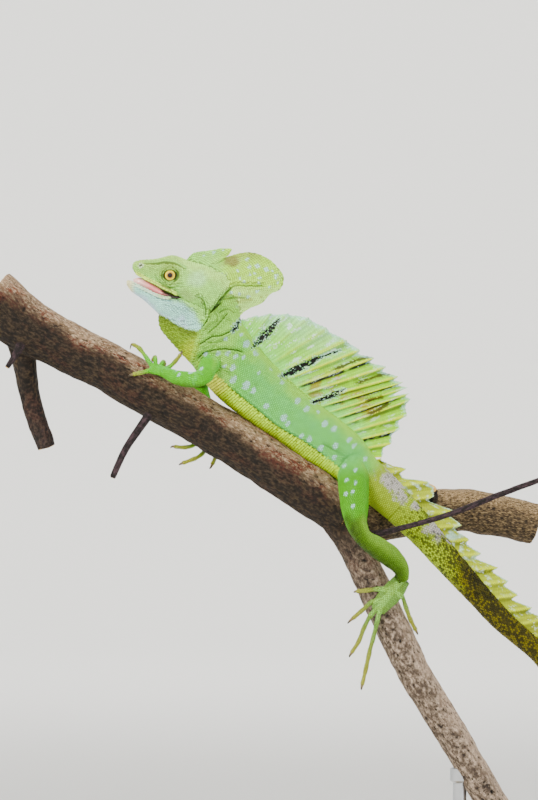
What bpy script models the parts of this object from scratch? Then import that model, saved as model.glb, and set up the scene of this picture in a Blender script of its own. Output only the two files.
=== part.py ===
"""Green basilisk on a cut branch: a still, life-size display model.

The lizard is an adult male about 205 mm from snout to vent, with a tail of about 510 mm. Sizes below are
in millimetres. Body places are measured from the fork of the branch: x to the right, z up, and y away from
the viewer, with the lizard's left side towards -y. The world's origin is under the middle of the base.
"""

import math

import bmesh
import bpy
import numpy as np
from mathutils import Matrix, Vector

MM = 0.001
GAP = 0.3  # left between two pieces that touch

BASE_LENGTH, BASE_DEPTH, BASE_THICK, BASE_ROUND = 300.0, 190.0, 14.0, 2.5
ROD_RADIUS, ROD_X, ROD_TOP = 4.5, 79.0, -160.0
FORK_X, FORK_Z = -10.0, 447.0  # the fork of the branch from the world's origin

# Each branch is rows of x, y, z and radius along its middle.
MAIN_BRANCH = (
    (-231, 0, 142, 20), (-208, 0, 124, 18.5), (-185, 0, 111.5, 16.5), (-158, 0, 98, 16.2),
    (-125, 0, 79, 16.6), (-92, 0, 60.5, 16.4), (-62, 0, 42, 16.3), (-26, 0, 18.5, 16.5), (4, 0, -3, 15),
)
LOWER_FORK = (
    (-14, 0, 9, 10), (0, 0, -6, 12), (9.5, 0, -22.5, 11), (17.5, 0, -39, 11), (26, 0, -58, 11.2),
    (38.5, 0, -84.5, 11.2), (53, 0, -113, 10.9), (68, 0, -137, 10.7), (99, 0, -190, 10.3),
    (106, 0, -202, 10.2),
)
RIGHT_FORK = (
    (-12, 2, 8, 12), (3, 5, -1, 14), (23, 14, -5.5, 14.2), (53, 25, -1, 14.5), (82, 32, 0.5, 14.2),
    (109, 36, -4, 14), (131, 39, -9, 13.6),
)
# Small wood grown from the branches, in rows of the same kind
TWIGS = {
    "right": ((10, -4, -14, 3.4), (24, -14, -14, 2.6), (40, -19, -10, 2.1), (73, -20, -0.5, 2.2),
              (105, -16, 12, 2.2), (134, -12, 22.5, 2)),
    "left": ((-120, -4, 76, 4.4), (-125, -8, 66, 3.4), (-133, -10, 54, 2.9), (-141, -10, 42, 2.6),
             (-150, -8, 22.5, 2.3)),
    "stub": ((-207, -8, 118, 4), (-212, -14, 106, 2.8), (-219, -17, 95, 1.9)),
    "shoot": ((-213, 4, 122, 10), (-209, 8, 100, 8), (-204, 10, 72, 7), (-194, 10, 42, 6.4)),
    "knot": ((57, 20, 4, 8), (59, 15, 12, 6.5), (60, 12, 16, 5)),
}

# Body sections: top x and z, bottom x and z, half the width, and on the spine how far the middle is in y
HEAD = (
    (-137, 163.4, -137, 161, 1.6), (-135.8, 165, -135.5, 158.2, 3.2), (-132.5, 166.2, -132, 155.4, 4.4),
    (-127.5, 166.6, -127.5, 152.4, 5.3), (-121.5, 167, -122.5, 149.4, 6.5), (-116, 168.4, -117, 146.6, 8),
    (-110.5, 169.4, -111.5, 143.8, 9.2), (-105, 168, -106, 140.8, 10.2), (-98, 165, -100.5, 137.5, 11.4),
    (-90, 162.6, -95, 134.2, 12), (-82, 159.6, -90, 131.4, 11.2), (-75, 155.5, -86, 130.8, 8.6),
    (-71, 151, -82, 133, 4.6),
)
JAW = (
    (-141, 152.4, -140.8, 150, 1.6), (-139.6, 153, -139.2, 147.6, 3), (-136, 151.2, -135.8, 144.4, 4.1),
    (-131, 148.8, -131, 141, 5), (-124, 145.4, -124.5, 135.6, 6.4), (-117, 142.8, -118.6, 130, 8),
    (-111, 141.6, -112, 125.6, 9.4), (-104, 142, -105, 122.2, 10.4), (-97, 140.5, -97.6, 120.8, 10.6),
    (-91, 137.5, -91, 121.4, 9.8), (-86.5, 134.5, -86.5, 124.4, 7), (-84, 132, -84, 128, 3.4),
)
TONGUE = (
    (-135.4, 154, -135.4, 150, 1.8), (-132.4, 154.2, -132.4, 148, 3), (-127, 152.2, -127, 146, 3.9),
    (-121, 148.8, -121, 142.6, 5), (-115.5, 145.4, -115.5, 140.5, 5.8), (-111, 143, -111, 139, 4.2),
)
# The neck, trunk and tail in one run, from inside the head to the tail's tip
SPINE = (
    (-73, 149, -98, 143, 5, 0), (-69.5, 144, -110, 136, 6.4, 0), (-67.5, 138, -119.5, 129.5, 7.8, 0),
    (-66.5, 131.5, -118.6, 121.5, 9.4, 0), (-65.5, 126.5, -112.4, 113.5, 11.4, 0),
    (-63, 122, -105.4, 105.5, 13.2, 0), (-60, 118, -99, 98.5, 14.4, 0), (-55, 109.5, -91, 88, 15.2, 0),
    (-47.5, 100.5, -79.6, 75, 15.8, 0),
    (-36.5, 88.5, -64.6, 63, 16.2, 0), (-20, 74, -45, 50, 16, 0), (-1.5, 61.5, -26, 36.5, 15, 0),
    (13, 50, -8, 26, 13, 0), (23, 36, 4, 17, 12, 0), (30, 29, 12, 11, 11, 0), (37, 22, 20, 4.5, 10.4, -0.5),
    (49, 9, 34.5, -7.5, 9.4, -1.5), (60, -4.5, 47, -19.5, 8.7, -3), (71.5, -18.5, 59.5, -32.5, 8, -5),
    (93.5, -45.5, 83.5, -57.5, 7, -9), (112.5, -67, 103, -77.5, 6.4, -12.5),
    (132, -85.5, 123.5, -94.5, 5.8, -15), (152, -110.5, 143, -118, 5.3, -16.5),
    (172, -140.5, 162.5, -146, 4.9, -16), (191, -175, 182, -178.5, 4.3, -13), (207, -212, 199, -214, 3.7, -7),
    (221, -250, 214.5, -251, 3.1, 0), (233, -288, 228, -289, 2.5, 7), (247, -325, 243, -327, 2, 12),
    (268, -363, 265, -365, 1.6, 13), (300, -406, 298, -408, 1.1, 8),
)
SPINE_NAMES = ("neck", "torso_front", "torso_rear", "tail_1", "tail_2", "tail_3", "tail_4", "tail_5")
SPINE_CUTS = (6, 10, 13, 17, 20, 23, 26)  # the sections where one length ends and the next begins
SPINE_RINGS, SPINE_SIDES = 72, 20
THIN_TAIL_FROM = 5  # the number in SPINE_NAMES of the first length with half the sides
EYE_X, EYE_Y, EYE_Z, EYE_RADIUS = -112.0, 5.0, 156.0, 4.9
NOSTRIL = (-131.0, 3.6, 162.4)
EAR = (-94.0, 11.0, 138.5)
EAR_RADIUS = 4.2
# Ridges of the head, in x, y and z for its right side and mirrored for its left
LID_LENGTH, LID_HEIGHT, LID_RADIUS = 5.4, 4.6, 1.25
BROW_RADIUS, UPPER_LIP_RADIUS, LOWER_LIP_RADIUS = 1.7, 1.2, 1.1
BROW = ((-129, 3.4, 164.4), (-122, 5.2, 164.6), (-115.5, 7, 165.4), (-109, 8, 164.8), (-102, 8.6, 161))
UPPER_LIP = ((-134, 2.6, 157.6), (-128, 4.7, 154), (-121, 6.6, 150.6), (-114, 8.6, 147), (-108, 9.6, 143.8))
LOWER_LIP = ((-138, 2, 151.6), (-132, 4.1, 148.4), (-125, 5.9, 144.8), (-118, 7.4, 141.8), (-112, 8.6, 140.6))

# Crest outlines in x and z: the root line lies inside the body, and the edge is what shows.
FRONT_CREST_ROOT = ((-102, 162), (-92, 161), (-83, 160))
FRONT_CREST_EDGE = (
    (-102.5, 165), (-97, 170.5), (-91, 172), (-84, 172.8), (-77, 174), (-71.5, 173), (-73.5, 170),
    (-80, 166.5),
)
REAR_CREST_ROOT = ((-89, 159), (-81.5, 151.5), (-76, 142), (-72, 132))
REAR_CREST_EDGE = (
    (-86, 163), (-78, 166.6), (-70, 169.8), (-60.5, 171.4), (-51.2, 169), (-42, 162.4), (-37.2, 153.6),
    (-39.4, 146.6), (-48.5, 143), (-55, 140), (-62, 135), (-67, 128),
)
SAIL_ROOT = (
    (-66, 125), (-61, 114), (-54, 103), (-41.5, 88), (-21, 70), (5, 51), (17, 36),
)
SAIL_EDGE = (
    (-64, 128.4), (-50, 131), (-38.5, 131.8), (-25.5, 130.4), (-12, 124.6), (3.5, 114.8), (14.5, 107.4),
    (33, 94.4), (46.5, 79.4), (45, 65), (36, 48.5), (29, 36),
)
SAIL_RAYS, SAIL_ROWS = 19, 4
TORN_COLUMN, TORN_DEPTH = 25, 11  # where the skin between two rays is torn, and how deep
# How far along the edge a ray ends, for how far along the root it starts
SAIL_TIP_AT = ((0, 0.15, 0.355, 0.56, 0.78, 1), (0, 0.147, 0.45, 0.66, 0.76, 1))
TAIL_CREST_ENDS, TAIL_CREST_RAYS, TAIL_CREST_ROWS = (13, 25), 27, 2
# The height of the tail's crest, for how far along it
TAIL_CREST_HEIGHTS = (
    (0, 0.035, 0.06, 0.09, 0.12, 0.15, 0.2, 0.3, 0.55, 0.7, 0.85, 1),
    (6, 14, 10, 25, 14, 22, 15, 17, 19, 18, 12, 4),
)

# Limb routes: x, y, z, half height and half width
LEFT_ARM = (
    (-82, -6, 101, 6, 7), (-87, -19, 95.5, 5.8, 6), (-90, -32, 89, 5.2, 5.4), (-94, -35.5, 87.4, 5.1, 5.1),
    (-102, -29.5, 87.6, 5, 4.8), (-110, -21.8, 89.8, 4.2, 4.3), (-115.5, -17.4, 92.2, 3.3, 4),
)
RIGHT_ARM = (
    (-82, 6, 101, 6, 7), (-87, 18, 95, 5.6, 6), (-91.5, 31, 88, 5, 5.2), (-92.5, 34.5, 83, 4.9, 4.9),
    (-90.5, 31.5, 74.5, 4.8, 4.8), (-88, 26.5, 65.5, 4, 4.2), (-86, 22.8, 58, 3.2, 3.8),
)
LEFT_LEG = (
    (9, -3, 30, 10, 10), (8.6, -13, 20, 10, 10), (9.2, -24, 5, 8.8, 8.6), (11, -34, -9, 6.4, 6.2),
    (14.5, -37, -15.5, 5.6, 5.6), (22.5, -33.5, -21.5, 6.6, 6.8), (33, -26, -29, 6.6, 6.8),
    (40, -19, -37.6, 5, 5.2), (41, -16.6, -44, 3.8, 5.2),
)
RIGHT_LEG = (
    (6, 4, 30, 9, 9), (-2, 16, 27.5, 8.6, 9), (-11, 31, 26.5, 7.2, 8), (-18.5, 43, 26, 5.4, 5.6),
    (-18.5, 46, 22, 4.9, 4.8), (-12.5, 39.5, 14, 5.6, 6), (-6.5, 30.5, 6.5, 4.8, 5),
    (-2.6, 24, 1.8, 3.8, 4.2), (-3.5, 20.5, 1, 3, 4),
)
LIMB_RINGS, ELBOW_RING, KNEE_RING = 15, 6, 7

# Palms and soles, in rows like the limbs
LEFT_PALM = ((-115, -17, 92, 2.8, 3.8), (-119.5, -15, 93.8, 2.8, 4.8), (-124.5, -13.5, 94.6, 2.2, 4.4))
RIGHT_PALM = ((-86.5, 22.6, 58.4, 2.6, 3.6), (-85.5, 20.8, 54.5, 2.6, 4.8), (-86, 19.6, 50, 2.2, 4.6))
LEFT_SOLE = ((41, -16.6, -43.5, 3.2, 5.2), (35.5, -14.4, -51, 3.1, 7.2), (26.5, -13.2, -61.5, 2.4, 6.8),
             (24.5, -13.2, -65, 2, 5.6))
RIGHT_SOLE = ((-3, 21, 0.5, 2.8, 4.2), (-8, 20, 5, 2.8, 5.8), (-15.5, 19.4, 9.5, 2.2, 6.6),
              (-18.5, 19.2, 11.5, 1.9, 5.6))
FINGER_RADIUS, TOE_RADIUS, CLAW_TIP = 1.35, 1.45, 0.25
# Digits run from inside the palm or sole to the claw, in x, y and z. The last step is the claw.
DIGITS = {
    "hand_l": (
        ((-118, -16, 93.6), (-112, -16, 96), (-107, -15.6, 101), (-104.8, -15, 104), (-104.4, -14.6, 106.6)),
        ((-121, -14.5, 95), (-121.5, -11, 99.6), (-122, -4, 102), (-123.5, 4, 100.4), (-125, 8.5, 96.4)),
        ((-123, -13.5, 95), (-128, -11, 102.5), (-133, -6.5, 108.6), (-136.4, -2, 110.6),
         (-138.6, 0.4, 107.2)),
        ((-122, -14.5, 94), (-128, -17.4, 92.6), (-133, -18, 91.4), (-136.4, -17.6, 90.6), (-139, -17, 89.6)),
        ((-119, -14.5, 94.5), (-117.4, -9, 98), (-116.4, -2, 99), (-116, 5, 97.4), (-116, 9.5, 94)),
    ),
    "hand_r": (
        ((-86, 19.8, 52), (-91.5, 17, 48.5), (-98, 10, 43.5), (-105, 5.5, 42.6), (-109.6, 4, 43.2),
         (-112, 3.4, 42)),
        ((-86, 19.8, 50), (-88, 16.8, 43.5), (-92, 9.5, 37.5), (-99, 4.5, 34), (-104, 3, 32.2),
         (-106.4, 2.6, 30.8)),
        ((-84.5, 20, 51), (-82.5, 17.4, 43), (-82.6, 11, 35.6), (-84.6, 7, 31), (-86.4, 5, 28.4)),
        ((-84, 20.4, 54), (-79.5, 19.4, 52), (-75, 18.6, 49), (-72.4, 17.6, 46.4)),
        ((-87, 20.6, 55), (-92, 19.6, 57.5), (-97, 19.2, 60.6), (-99.4, 18.6, 61)),
    ),
    "foot_l": (
        ((32, -13.8, -50), (24, -13, -50.4), (16, -11, -51.4), (11, -8.4, -52), (9, -6.8, -53)),
        ((28, -13.4, -57), (21.5, -12.8, -58.4), (14.5, -10.6, -64.4), (8, -9, -70), (5, -8, -73.4)),
        ((26, -13.2, -61), (20.5, -12.8, -67), (16, -11, -75), (12.4, -9.4, -84.5), (7.4, -8, -92.6),
         (6, -7.6, -95.6)),
        ((26.5, -13.4, -62), (24.6, -13.6, -70), (22, -12, -81), (19, -10.6, -93), (16.6, -9.8, -104),
         (14.4, -9, -113.6), (14, -8.6, -117)),
        ((34, -13.8, -50), (40.4, -11.6, -55), (43.4, -9, -63), (46.4, -5, -71), (50, -2.6, -78),
         (51.4, -2, -81)),
    ),
    "foot_r": (
        ((-8, 19.8, 4), (-12, 19.6, -2), (-16, 16.6, -4.6), (-18, 15, -5.4)),
        ((-14, 19.4, 8), (-22, 19.4, 9), (-31, 18.6, 12), (-38, 16.6, 14.6), (-40.6, 15.4, 14.6)),
        ((-15, 19.4, 10), (-25, 19.6, 14), (-36, 18.8, 19), (-45, 17.4, 23.4), (-48, 16.4, 24)),
        ((-15, 19.4, 11), (-26, 19.4, 18.4), (-38, 18.6, 26), (-50, 17.4, 34), (-60, 16, 41.6), (-63, 15, 43)),
        ((-8, 20.4, 6), (-11, 20, 15), (-16, 18, 24), (-21, 15.6, 31), (-23, 14.4, 33)),
    ),
}

COLOURS = {
    "green": (0.26, 0.50, 0.11), "pale": (0.50, 0.64, 0.42),
    "sail": (0.50, 0.66, 0.14), "pink": (0.75, 0.36, 0.36), "gold": (0.80, 0.50, 0.10),
    "bark": (0.16, 0.09, 0.06), "board": (0.62, 0.58, 0.50), "steel": (0.55, 0.56, 0.57),
}


def smooth(rows, count):
    """Count rows, evenly spaced along a smooth curve through the given rows."""
    rows = np.array(rows, float)
    steps = np.linalg.norm(np.diff(rows, axis=0), axis=1)
    knots = np.concatenate([[0], np.cumsum(steps)])
    slopes = np.gradient(rows, knots, axis=0)
    made = []
    for place in np.linspace(0, knots[-1], count):
        i = min(np.searchsorted(knots, place, side="right") - 1, len(steps) - 1)
        t = (place - knots[i]) / steps[i]
        ends = rows[i] * (2 * t**3 - 3 * t**2 + 1) + rows[i + 1] * (3 * t**2 - 2 * t**3)
        pulls = slopes[i] * (t**3 - 2 * t**2 + t) + slopes[i + 1] * (t**3 - t**2)
        made.append(ends + steps[i] * pulls)
    return np.array(made)


def finish(colour, roughness=0.5, metallic=0.0):
    """The named colour as a material, made once."""
    found = bpy.data.materials.get(colour)
    if found:
        return found
    made = bpy.data.materials.new(colour)
    made.use_nodes = True
    shader = made.node_tree.nodes["Principled BSDF"]
    shader.inputs["Base Color"].default_value = (*COLOURS[colour], 1)
    shader.inputs["Roughness"].default_value = roughness
    shader.inputs["Metallic"].default_value = metallic
    return made


def place(obj, colour, group, parent):
    """Puts a finished object in its collection, under its parent."""
    for old in obj.users_collection:
        old.objects.unlink(obj)
    group.objects.link(obj)
    obj.data.materials.clear()
    obj.data.materials.append(finish(colour))
    obj.data.shade_smooth()
    obj.parent = parent
    return obj


def object_from(mesh, name, origin):
    """A new object from a bmesh in millimetres, with its own origin at the given point."""
    bmesh.ops.recalc_face_normals(mesh, faces=mesh.faces)
    for vertex in mesh.verts:
        vertex.co = (vertex.co - Vector(origin)) * MM
    data = bpy.data.meshes.new(name)
    mesh.to_mesh(data)
    mesh.free()
    obj = bpy.data.objects.new(name, data)
    obj.location = Vector(origin) * MM
    bpy.context.scene.collection.objects.link(obj)
    return obj


def loft(name, rings):
    """A closed body through the rings, each a row of points."""
    mesh = bmesh.new()
    loops = [[mesh.verts.new(point) for point in ring] for ring in rings]
    for near, far in zip(loops, loops[1:]):
        for i, vertex in enumerate(near):
            after = (i + 1) % len(near)
            mesh.faces.new((vertex, near[after], far[after], far[i]))
    mesh.faces.new(loops[0][::-1])
    mesh.faces.new(loops[-1])
    return object_from(mesh, name, np.mean(rings[0], axis=0))


def body_rings(rows, count, sides, belly):
    """Rings for a body part from its sections. Belly above 0 widens the lower half, below 0 the upper."""
    rings = []
    for top_x, top_z, low_x, low_z, half, aside in smooth([(*row, 0)[:6] for row in rows], count):
        middle = np.array([(top_x + low_x) / 2, aside, (top_z + low_z) / 2])
        up = np.array([top_x - low_x, 0, top_z - low_z]) / 2
        ring = []
        for angle in np.arange(sides) * 2 * math.pi / sides:
            across = half * math.sin(angle) * (1 - belly * math.cos(angle))
            ring.append(middle + up * math.cos(angle) + np.array([0, across, 0]))
        rings.append(np.array(ring))
    return rings


def limb_rings(rows, count, sides, facing):
    """Rings for a limb along its route. The half height is measured towards facing."""
    rows = smooth(rows, count)
    runs = np.gradient(rows[:, :3], axis=0)
    rings = []
    for row, run in zip(rows, runs):
        run = run / np.linalg.norm(run)
        side = np.cross(facing, run)
        side /= np.linalg.norm(side)
        up = np.cross(run, side)
        angles = np.arange(sides) * 2 * math.pi / sides
        ring = [row[:3] + up * row[3] * math.cos(a) + side * row[4] * math.sin(a) for a in angles]
        rings.append(np.array(ring))
    return rings


def ring_at(rows, count, number):
    """The ring that smooth() makes nearest to a given row."""
    steps = np.linalg.norm(np.diff(np.array(rows, float), axis=0), axis=1)
    return round(steps[:number].sum() / steps.sum() * (count - 1))


def parted(rings, cuts):
    """The rings shared out at the cuts, each side of a cut drawn back by half the touching gap."""
    ends = [0, *cuts, len(rings) - 1]
    middles = [ring.mean(axis=0) for ring in rings]
    lengths = []
    for first, last in zip(ends, ends[1:]):
        part = [ring.copy() for ring in rings[first : last + 1]]
        for at, cut, sign in ((0, first, 1), (-1, last, -1)):
            if cut in cuts:
                ring = rings[cut]
                normal = np.cross(ring[0] - middles[cut], ring[len(ring) // 4] - middles[cut])
                normal /= np.linalg.norm(normal)
                if normal @ (middles[cut + 1] - middles[cut - 1]) < 0:
                    normal = -normal
                part[at] += sign * normal * GAP / 2
        lengths.append(part)
    return lengths


def made_mesh(obj):
    """Makes an object's modifiers or curve into its own plain mesh."""
    bpy.context.view_layer.update()
    graph = bpy.context.evaluated_depsgraph_get()
    data = bpy.data.meshes.new_from_object(obj.evaluated_get(graph))
    if obj.type == "MESH":
        obj.modifiers.clear()
        obj.data = data
        return obj
    mesh = bmesh.new()
    mesh.from_mesh(data)
    bmesh.ops.remove_doubles(mesh, verts=mesh.verts, dist=0.00001)
    bmesh.ops.recalc_face_normals(mesh, faces=mesh.faces)
    mesh.to_mesh(data)
    mesh.free()
    solid = bpy.data.objects.new("solid", data)
    solid.matrix_world = obj.matrix_world
    bpy.context.scene.collection.objects.link(solid)
    name = obj.name
    bpy.data.objects.remove(obj)
    solid.name = name
    return solid


def tube(name, route, count, sides):
    """A round tube along a smooth route of x, y, z and radius rows."""
    curve = bpy.data.curves.new(name, "CURVE")
    curve.dimensions = "3D"
    curve.bevel_depth = MM
    curve.bevel_resolution = (sides - 4) // 2
    curve.use_fill_caps = True
    rows = smooth(route, count)
    line = curve.splines.new("POLY")
    line.points.add(count - 1)
    for point, (x, y, z, radius) in zip(line.points, rows):
        point.co = (x * MM, y * MM, z * MM, 1)
        point.radius = radius
    obj = bpy.data.objects.new(name, curve)
    bpy.context.scene.collection.objects.link(obj)
    return made_mesh(obj)


def ball(name, middle, radii, sides=10, rings=7):
    """A ball or ellipsoid at a point."""
    bpy.ops.mesh.primitive_uv_sphere_add(segments=sides, ring_count=rings, radius=1)
    obj = bpy.context.object
    obj.name = name
    obj.data.transform(Matrix.Diagonal((*radii, 1 / MM)) * MM)
    obj.location = Vector(middle) * MM
    return obj


def enclosed(island):
    """The volume inside a closed surface, given its vertices."""
    faces = {face for vertex in island for face in vertex.link_faces}
    total = 0.0
    for face in faces:
        first, *others = [corner.co for corner in face.verts]
        for a, b in zip(others, others[1:]):
            total += first.dot(a.cross(b))
    return abs(total) / 6


def largest_surface(obj):
    """Keeps only the object's largest closed surface."""
    mesh = bmesh.new()
    mesh.from_mesh(obj.data)
    left = set(mesh.verts)
    islands = []
    while left:
        start = left.pop()
        island, edge = {start}, [start]
        while edge:
            vertex = edge.pop()
            near = {link.other_vert(vertex) for link in vertex.link_edges} & left
            left -= near
            island |= near
            edge.extend(near)
        islands.append(island)
    islands.sort(key=enclosed)
    for island in islands[:-1]:
        bmesh.ops.delete(mesh, geom=list(island), context="VERTS")
    bmesh.ops.dissolve_degenerate(mesh, dist=0.000001, edges=mesh.edges)
    mesh.to_mesh(obj.data)
    mesh.free()


def join(obj, pieces, solver="EXACT"):
    """Fuses the pieces into the object with one Boolean union."""
    group = bpy.data.collections.new(obj.name + "_pieces")
    bpy.context.scene.collection.children.link(group)
    for piece in pieces:
        for old in piece.users_collection:
            old.objects.unlink(piece)
        group.objects.link(piece)
    union = obj.modifiers.new("Join", "BOOLEAN")
    union.operation = "UNION"
    union.operand_type = "COLLECTION"
    union.collection = group
    union.solver = solver
    made_mesh(obj)
    for piece in pieces:
        bpy.data.objects.remove(piece)
    bpy.data.collections.remove(group)
    largest_surface(obj)
    return obj


def carve(obj, tools, gap=GAP, solver="EXACT"):
    """Cuts the object clear of each tool by the gap."""
    for tool in tools:
        cutter = bpy.data.objects.new(tool.name + "_cutter", tool.data.copy())
        cutter.matrix_world = tool.matrix_world
        cutter.hide_render = True
        cutter.display_type = "WIRE"
        bpy.data.collections["cutters"].objects.link(cutter)
        mesh = bmesh.new()
        mesh.from_mesh(cutter.data)
        shifts = [v.normal * gap * MM * min(v.calc_shell_factor(), 1.6) for v in mesh.verts]
        for vertex, shift in zip(mesh.verts, shifts):
            vertex.co += shift
        mesh.to_mesh(cutter.data)
        mesh.free()
        cut = obj.modifiers.new("Clear", "BOOLEAN")
        cut.operation = "DIFFERENCE"
        cut.object = cutter
        cut.solver = solver
        made_mesh(obj)
        bpy.data.objects.remove(cutter)
    largest_surface(obj)
    return obj


def vane(name, roots, tips, rows, thickness, lean, bow=0.0):
    """A thin upright plate whose columns run from roots to tips, both lists of x and z.

    Thickness and lean are functions of the column and of the way up it, from 0 to 1. Both faces have the
    same triangles, so that they never cross. Bow bends each column upwards by that share of its length.
    """
    mesh = bmesh.new()
    faces = []
    for side in (-1, 1):
        columns = []
        for i, (root, tip) in enumerate(zip(np.array(roots, float), np.array(tips, float))):
            across = np.array([root[1] - tip[1], tip[0] - root[0]])
            column = []
            for t in np.linspace(0, 1, rows + 1):
                x, z = root + (tip - root) * t + across * bow * math.sin(math.pi * t)
                y = lean(i, t) + side * thickness(i, t) / 2
                column.append(mesh.verts.new((x, y, z)))
            columns.append(column)
        faces.append(columns)
    for columns in faces:
        for a, b in zip(columns, columns[1:]):
            for j in range(rows):
                mesh.faces.new((a[j], b[j], b[j + 1]))
                mesh.faces.new((a[j], b[j + 1], a[j + 1]))
    near, far = faces
    last = len(near) - 1
    around = [(i, 0) for i in range(last)] + [(last, j) for j in range(rows)]
    around += [(i, rows) for i in range(last, 0, -1)] + [(0, j) for j in range(rows, 0, -1)]
    for (i, j), (k, m) in zip(around, around[1:] + around[:1]):
        mesh.faces.new((near[i][j], near[k][m], far[k][m]))
        mesh.faces.new((near[i][j], far[k][m], far[i][j]))
    return object_from(mesh, name, (roots[0][0], 0, roots[0][1]))


def perch():
    """The branch with its two forks, twigs and knot, fused."""
    branch = tube("perch_branch", MAIN_BRANCH, 13, 18)
    forks = [tube("lower_fork", LOWER_FORK, 12, 14), tube("right_fork", RIGHT_FORK, 8, 16)]
    twigs = [tube(name, route, 7, 8) for name, route in TWIGS.items()]
    return join(branch, forks + twigs)


def ridge(name, route, side, radius, count):
    """A round ridge of one thickness along a route on the given side of the head."""
    return tube(name, [(x, side * y, z, radius) for x, y, z in route], count, 6)


def head():
    """The skull with its lids, brows, lips and nostrils, its sockets and ear cups, and the eyes."""
    skull = loft("head", body_rings(HEAD, 16, 20, 0.16))
    eyes = []
    details = []
    for side, letter in ((-1, "l"), (1, "r")):
        eyes.append(ball("eye_" + letter, (EYE_X, side * EYE_Y, EYE_Z), (EYE_RADIUS,) * 3, 16, 10))
        lids = [
            (EYE_X + LID_LENGTH * math.cos(a), 9.1 - 0.7 * math.cos(a), EYE_Z + LID_HEIGHT * math.sin(a))
            for a in np.linspace(0, 2 * math.pi, 13)
        ]
        lids[-1] = lids[0]
        details.append(ridge("lids", lids, side, LID_RADIUS, 13))
        details.append(ridge("brow", BROW, side, BROW_RADIUS, 7))
        details.append(ridge("lip", UPPER_LIP, side, UPPER_LIP_RADIUS, 6))
        nostril = (NOSTRIL[0], side * NOSTRIL[1], NOSTRIL[2])
        details.append(ball("nostril_rim", nostril, (1.8, 1.5, 1.5), 8, 6))
    join(skull, details)
    for side in (-1, 1):
        pit_middle = (NOSTRIL[0] - 0.4, side * (NOSTRIL[1] + 1.4), NOSTRIL[2] + 0.4)
        cup_middle = (EAR[0], side * (EAR[1] + 2.6), EAR[2])
        pit = ball("pit", pit_middle, (0.8, 1, 0.7), 8, 6)
        cup = ball("cup", cup_middle, (EAR_RADIUS, 3, EAR_RADIUS + 0.6), 14, 8)
        carve(skull, [pit, cup], gap=0)
        bpy.data.objects.remove(pit)
        bpy.data.objects.remove(cup)
    carve(skull, eyes)
    return skull, eyes


def lower_jaw(skull):
    """The lower jaw with its lips and the loose skin of the throat."""
    jaw = loft("lower_jaw", body_rings(JAW, 14, 18, -0.1))
    lips = [ridge("lip", LOWER_LIP, side, LOWER_LIP_RADIUS, 6) for side in (-1, 1)]
    return carve(join(jaw, lips), [skull])


def crest(name, root, edge, columns, rows, thick_root, thick_edge, lean):
    """A fleshy head crest, thick at its root and thin at its edge, leaning sideways by lean at the edge."""
    return vane(
        name, smooth(root, columns), smooth(edge, columns), rows,
        lambda i, t: thick_edge + (thick_root - thick_edge) * (1 - t) ** 1.5,
        lambda i, t: lean * t**2,
    )


def sail():
    """The back's sail: bony rays with thin skin between them, ragged at the edge."""
    draw = np.random.default_rng(7)
    roots = smooth(SAIL_ROOT, 2 * SAIL_RAYS - 1)
    outline = smooth(SAIL_EDGE, 201)
    tips = []
    for i in range(2 * SAIL_RAYS - 1):
        share = np.interp(i / (2 * SAIL_RAYS - 2), *SAIL_TIP_AT)
        tip = outline[round(share * 200)]
        length = np.linalg.norm(tip - roots[i])
        drop = draw.uniform(2.4, 4.6) if i % 2 else draw.uniform(0, 1.2)
        if i == TORN_COLUMN:
            drop = TORN_DEPTH
        tips.append(tip + (roots[i] - tip) * min(drop / length, 0.4))

    def thickness(i, t):
        return (1.5 - 0.85 * t) if i % 2 else (2.4 - 1.4 * t)

    def lean(i, t):
        return 0.9 * t * (1 if i % 4 == 1 else -1) if i % 2 else 0

    return vane("dorsal_crest", roots, tips, SAIL_ROWS, thickness, lean, bow=0.03)


def tail_crest(rings):
    """The lower, torn crest along the first third of the tail, its rays leaning back."""
    draw = np.random.default_rng(11)
    first, last = (ring_at(SPINE, SPINE_RINGS, number) for number in TAIL_CREST_ENDS)
    backbone = smooth([ring[0] for ring in rings[first : last + 1]], 2 * TAIL_CREST_RAYS - 1)
    line, aside = backbone[:, [0, 2]], backbone[:, 1]
    runs = np.gradient(line, axis=0)
    roots, tips = [], []
    for i, (point, run) in enumerate(zip(line, runs)):
        share = i / (2 * TAIL_CREST_RAYS - 2)
        run = run / np.linalg.norm(run)
        out = np.array([-run[1], run[0]])
        ray = out * 0.78 + run * 0.62
        height = np.interp(share, *TAIL_CREST_HEIGHTS) * draw.uniform(0.85, 1.08)
        if i % 2:
            height *= 0.72
        roots.append(point - out * 2.2)
        tips.append(point + ray * height)

    def thickness(i, t):
        return (1.5 - 0.8 * t) if i % 2 else (2.2 - 1.3 * t)

    def lean(i, t):
        return aside[i] + (0.5 * t if i % 4 == 1 else 0)

    return vane("tail_crest", roots, tips, TAIL_CREST_ROWS, thickness, lean)


def extremity(name, rows, facing, radius):
    """A hand or foot: the flat palm or sole with its five clawed digits."""
    palm = loft(name, limb_rings(rows, 6, 12, facing))
    digits = []
    for number, route in enumerate(DIGITS[name]):
        sizes = [radius * 1.1] + [radius] * (len(route) - 3) + [radius * 0.8, CLAW_TIP]
        rows = [(*point, size) for point, size in zip(route, sizes)]
        digits.append(tube(f"{name}_digit_{number + 1}", rows, 2 * len(route), 6))
    return join(palm, digits)


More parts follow.
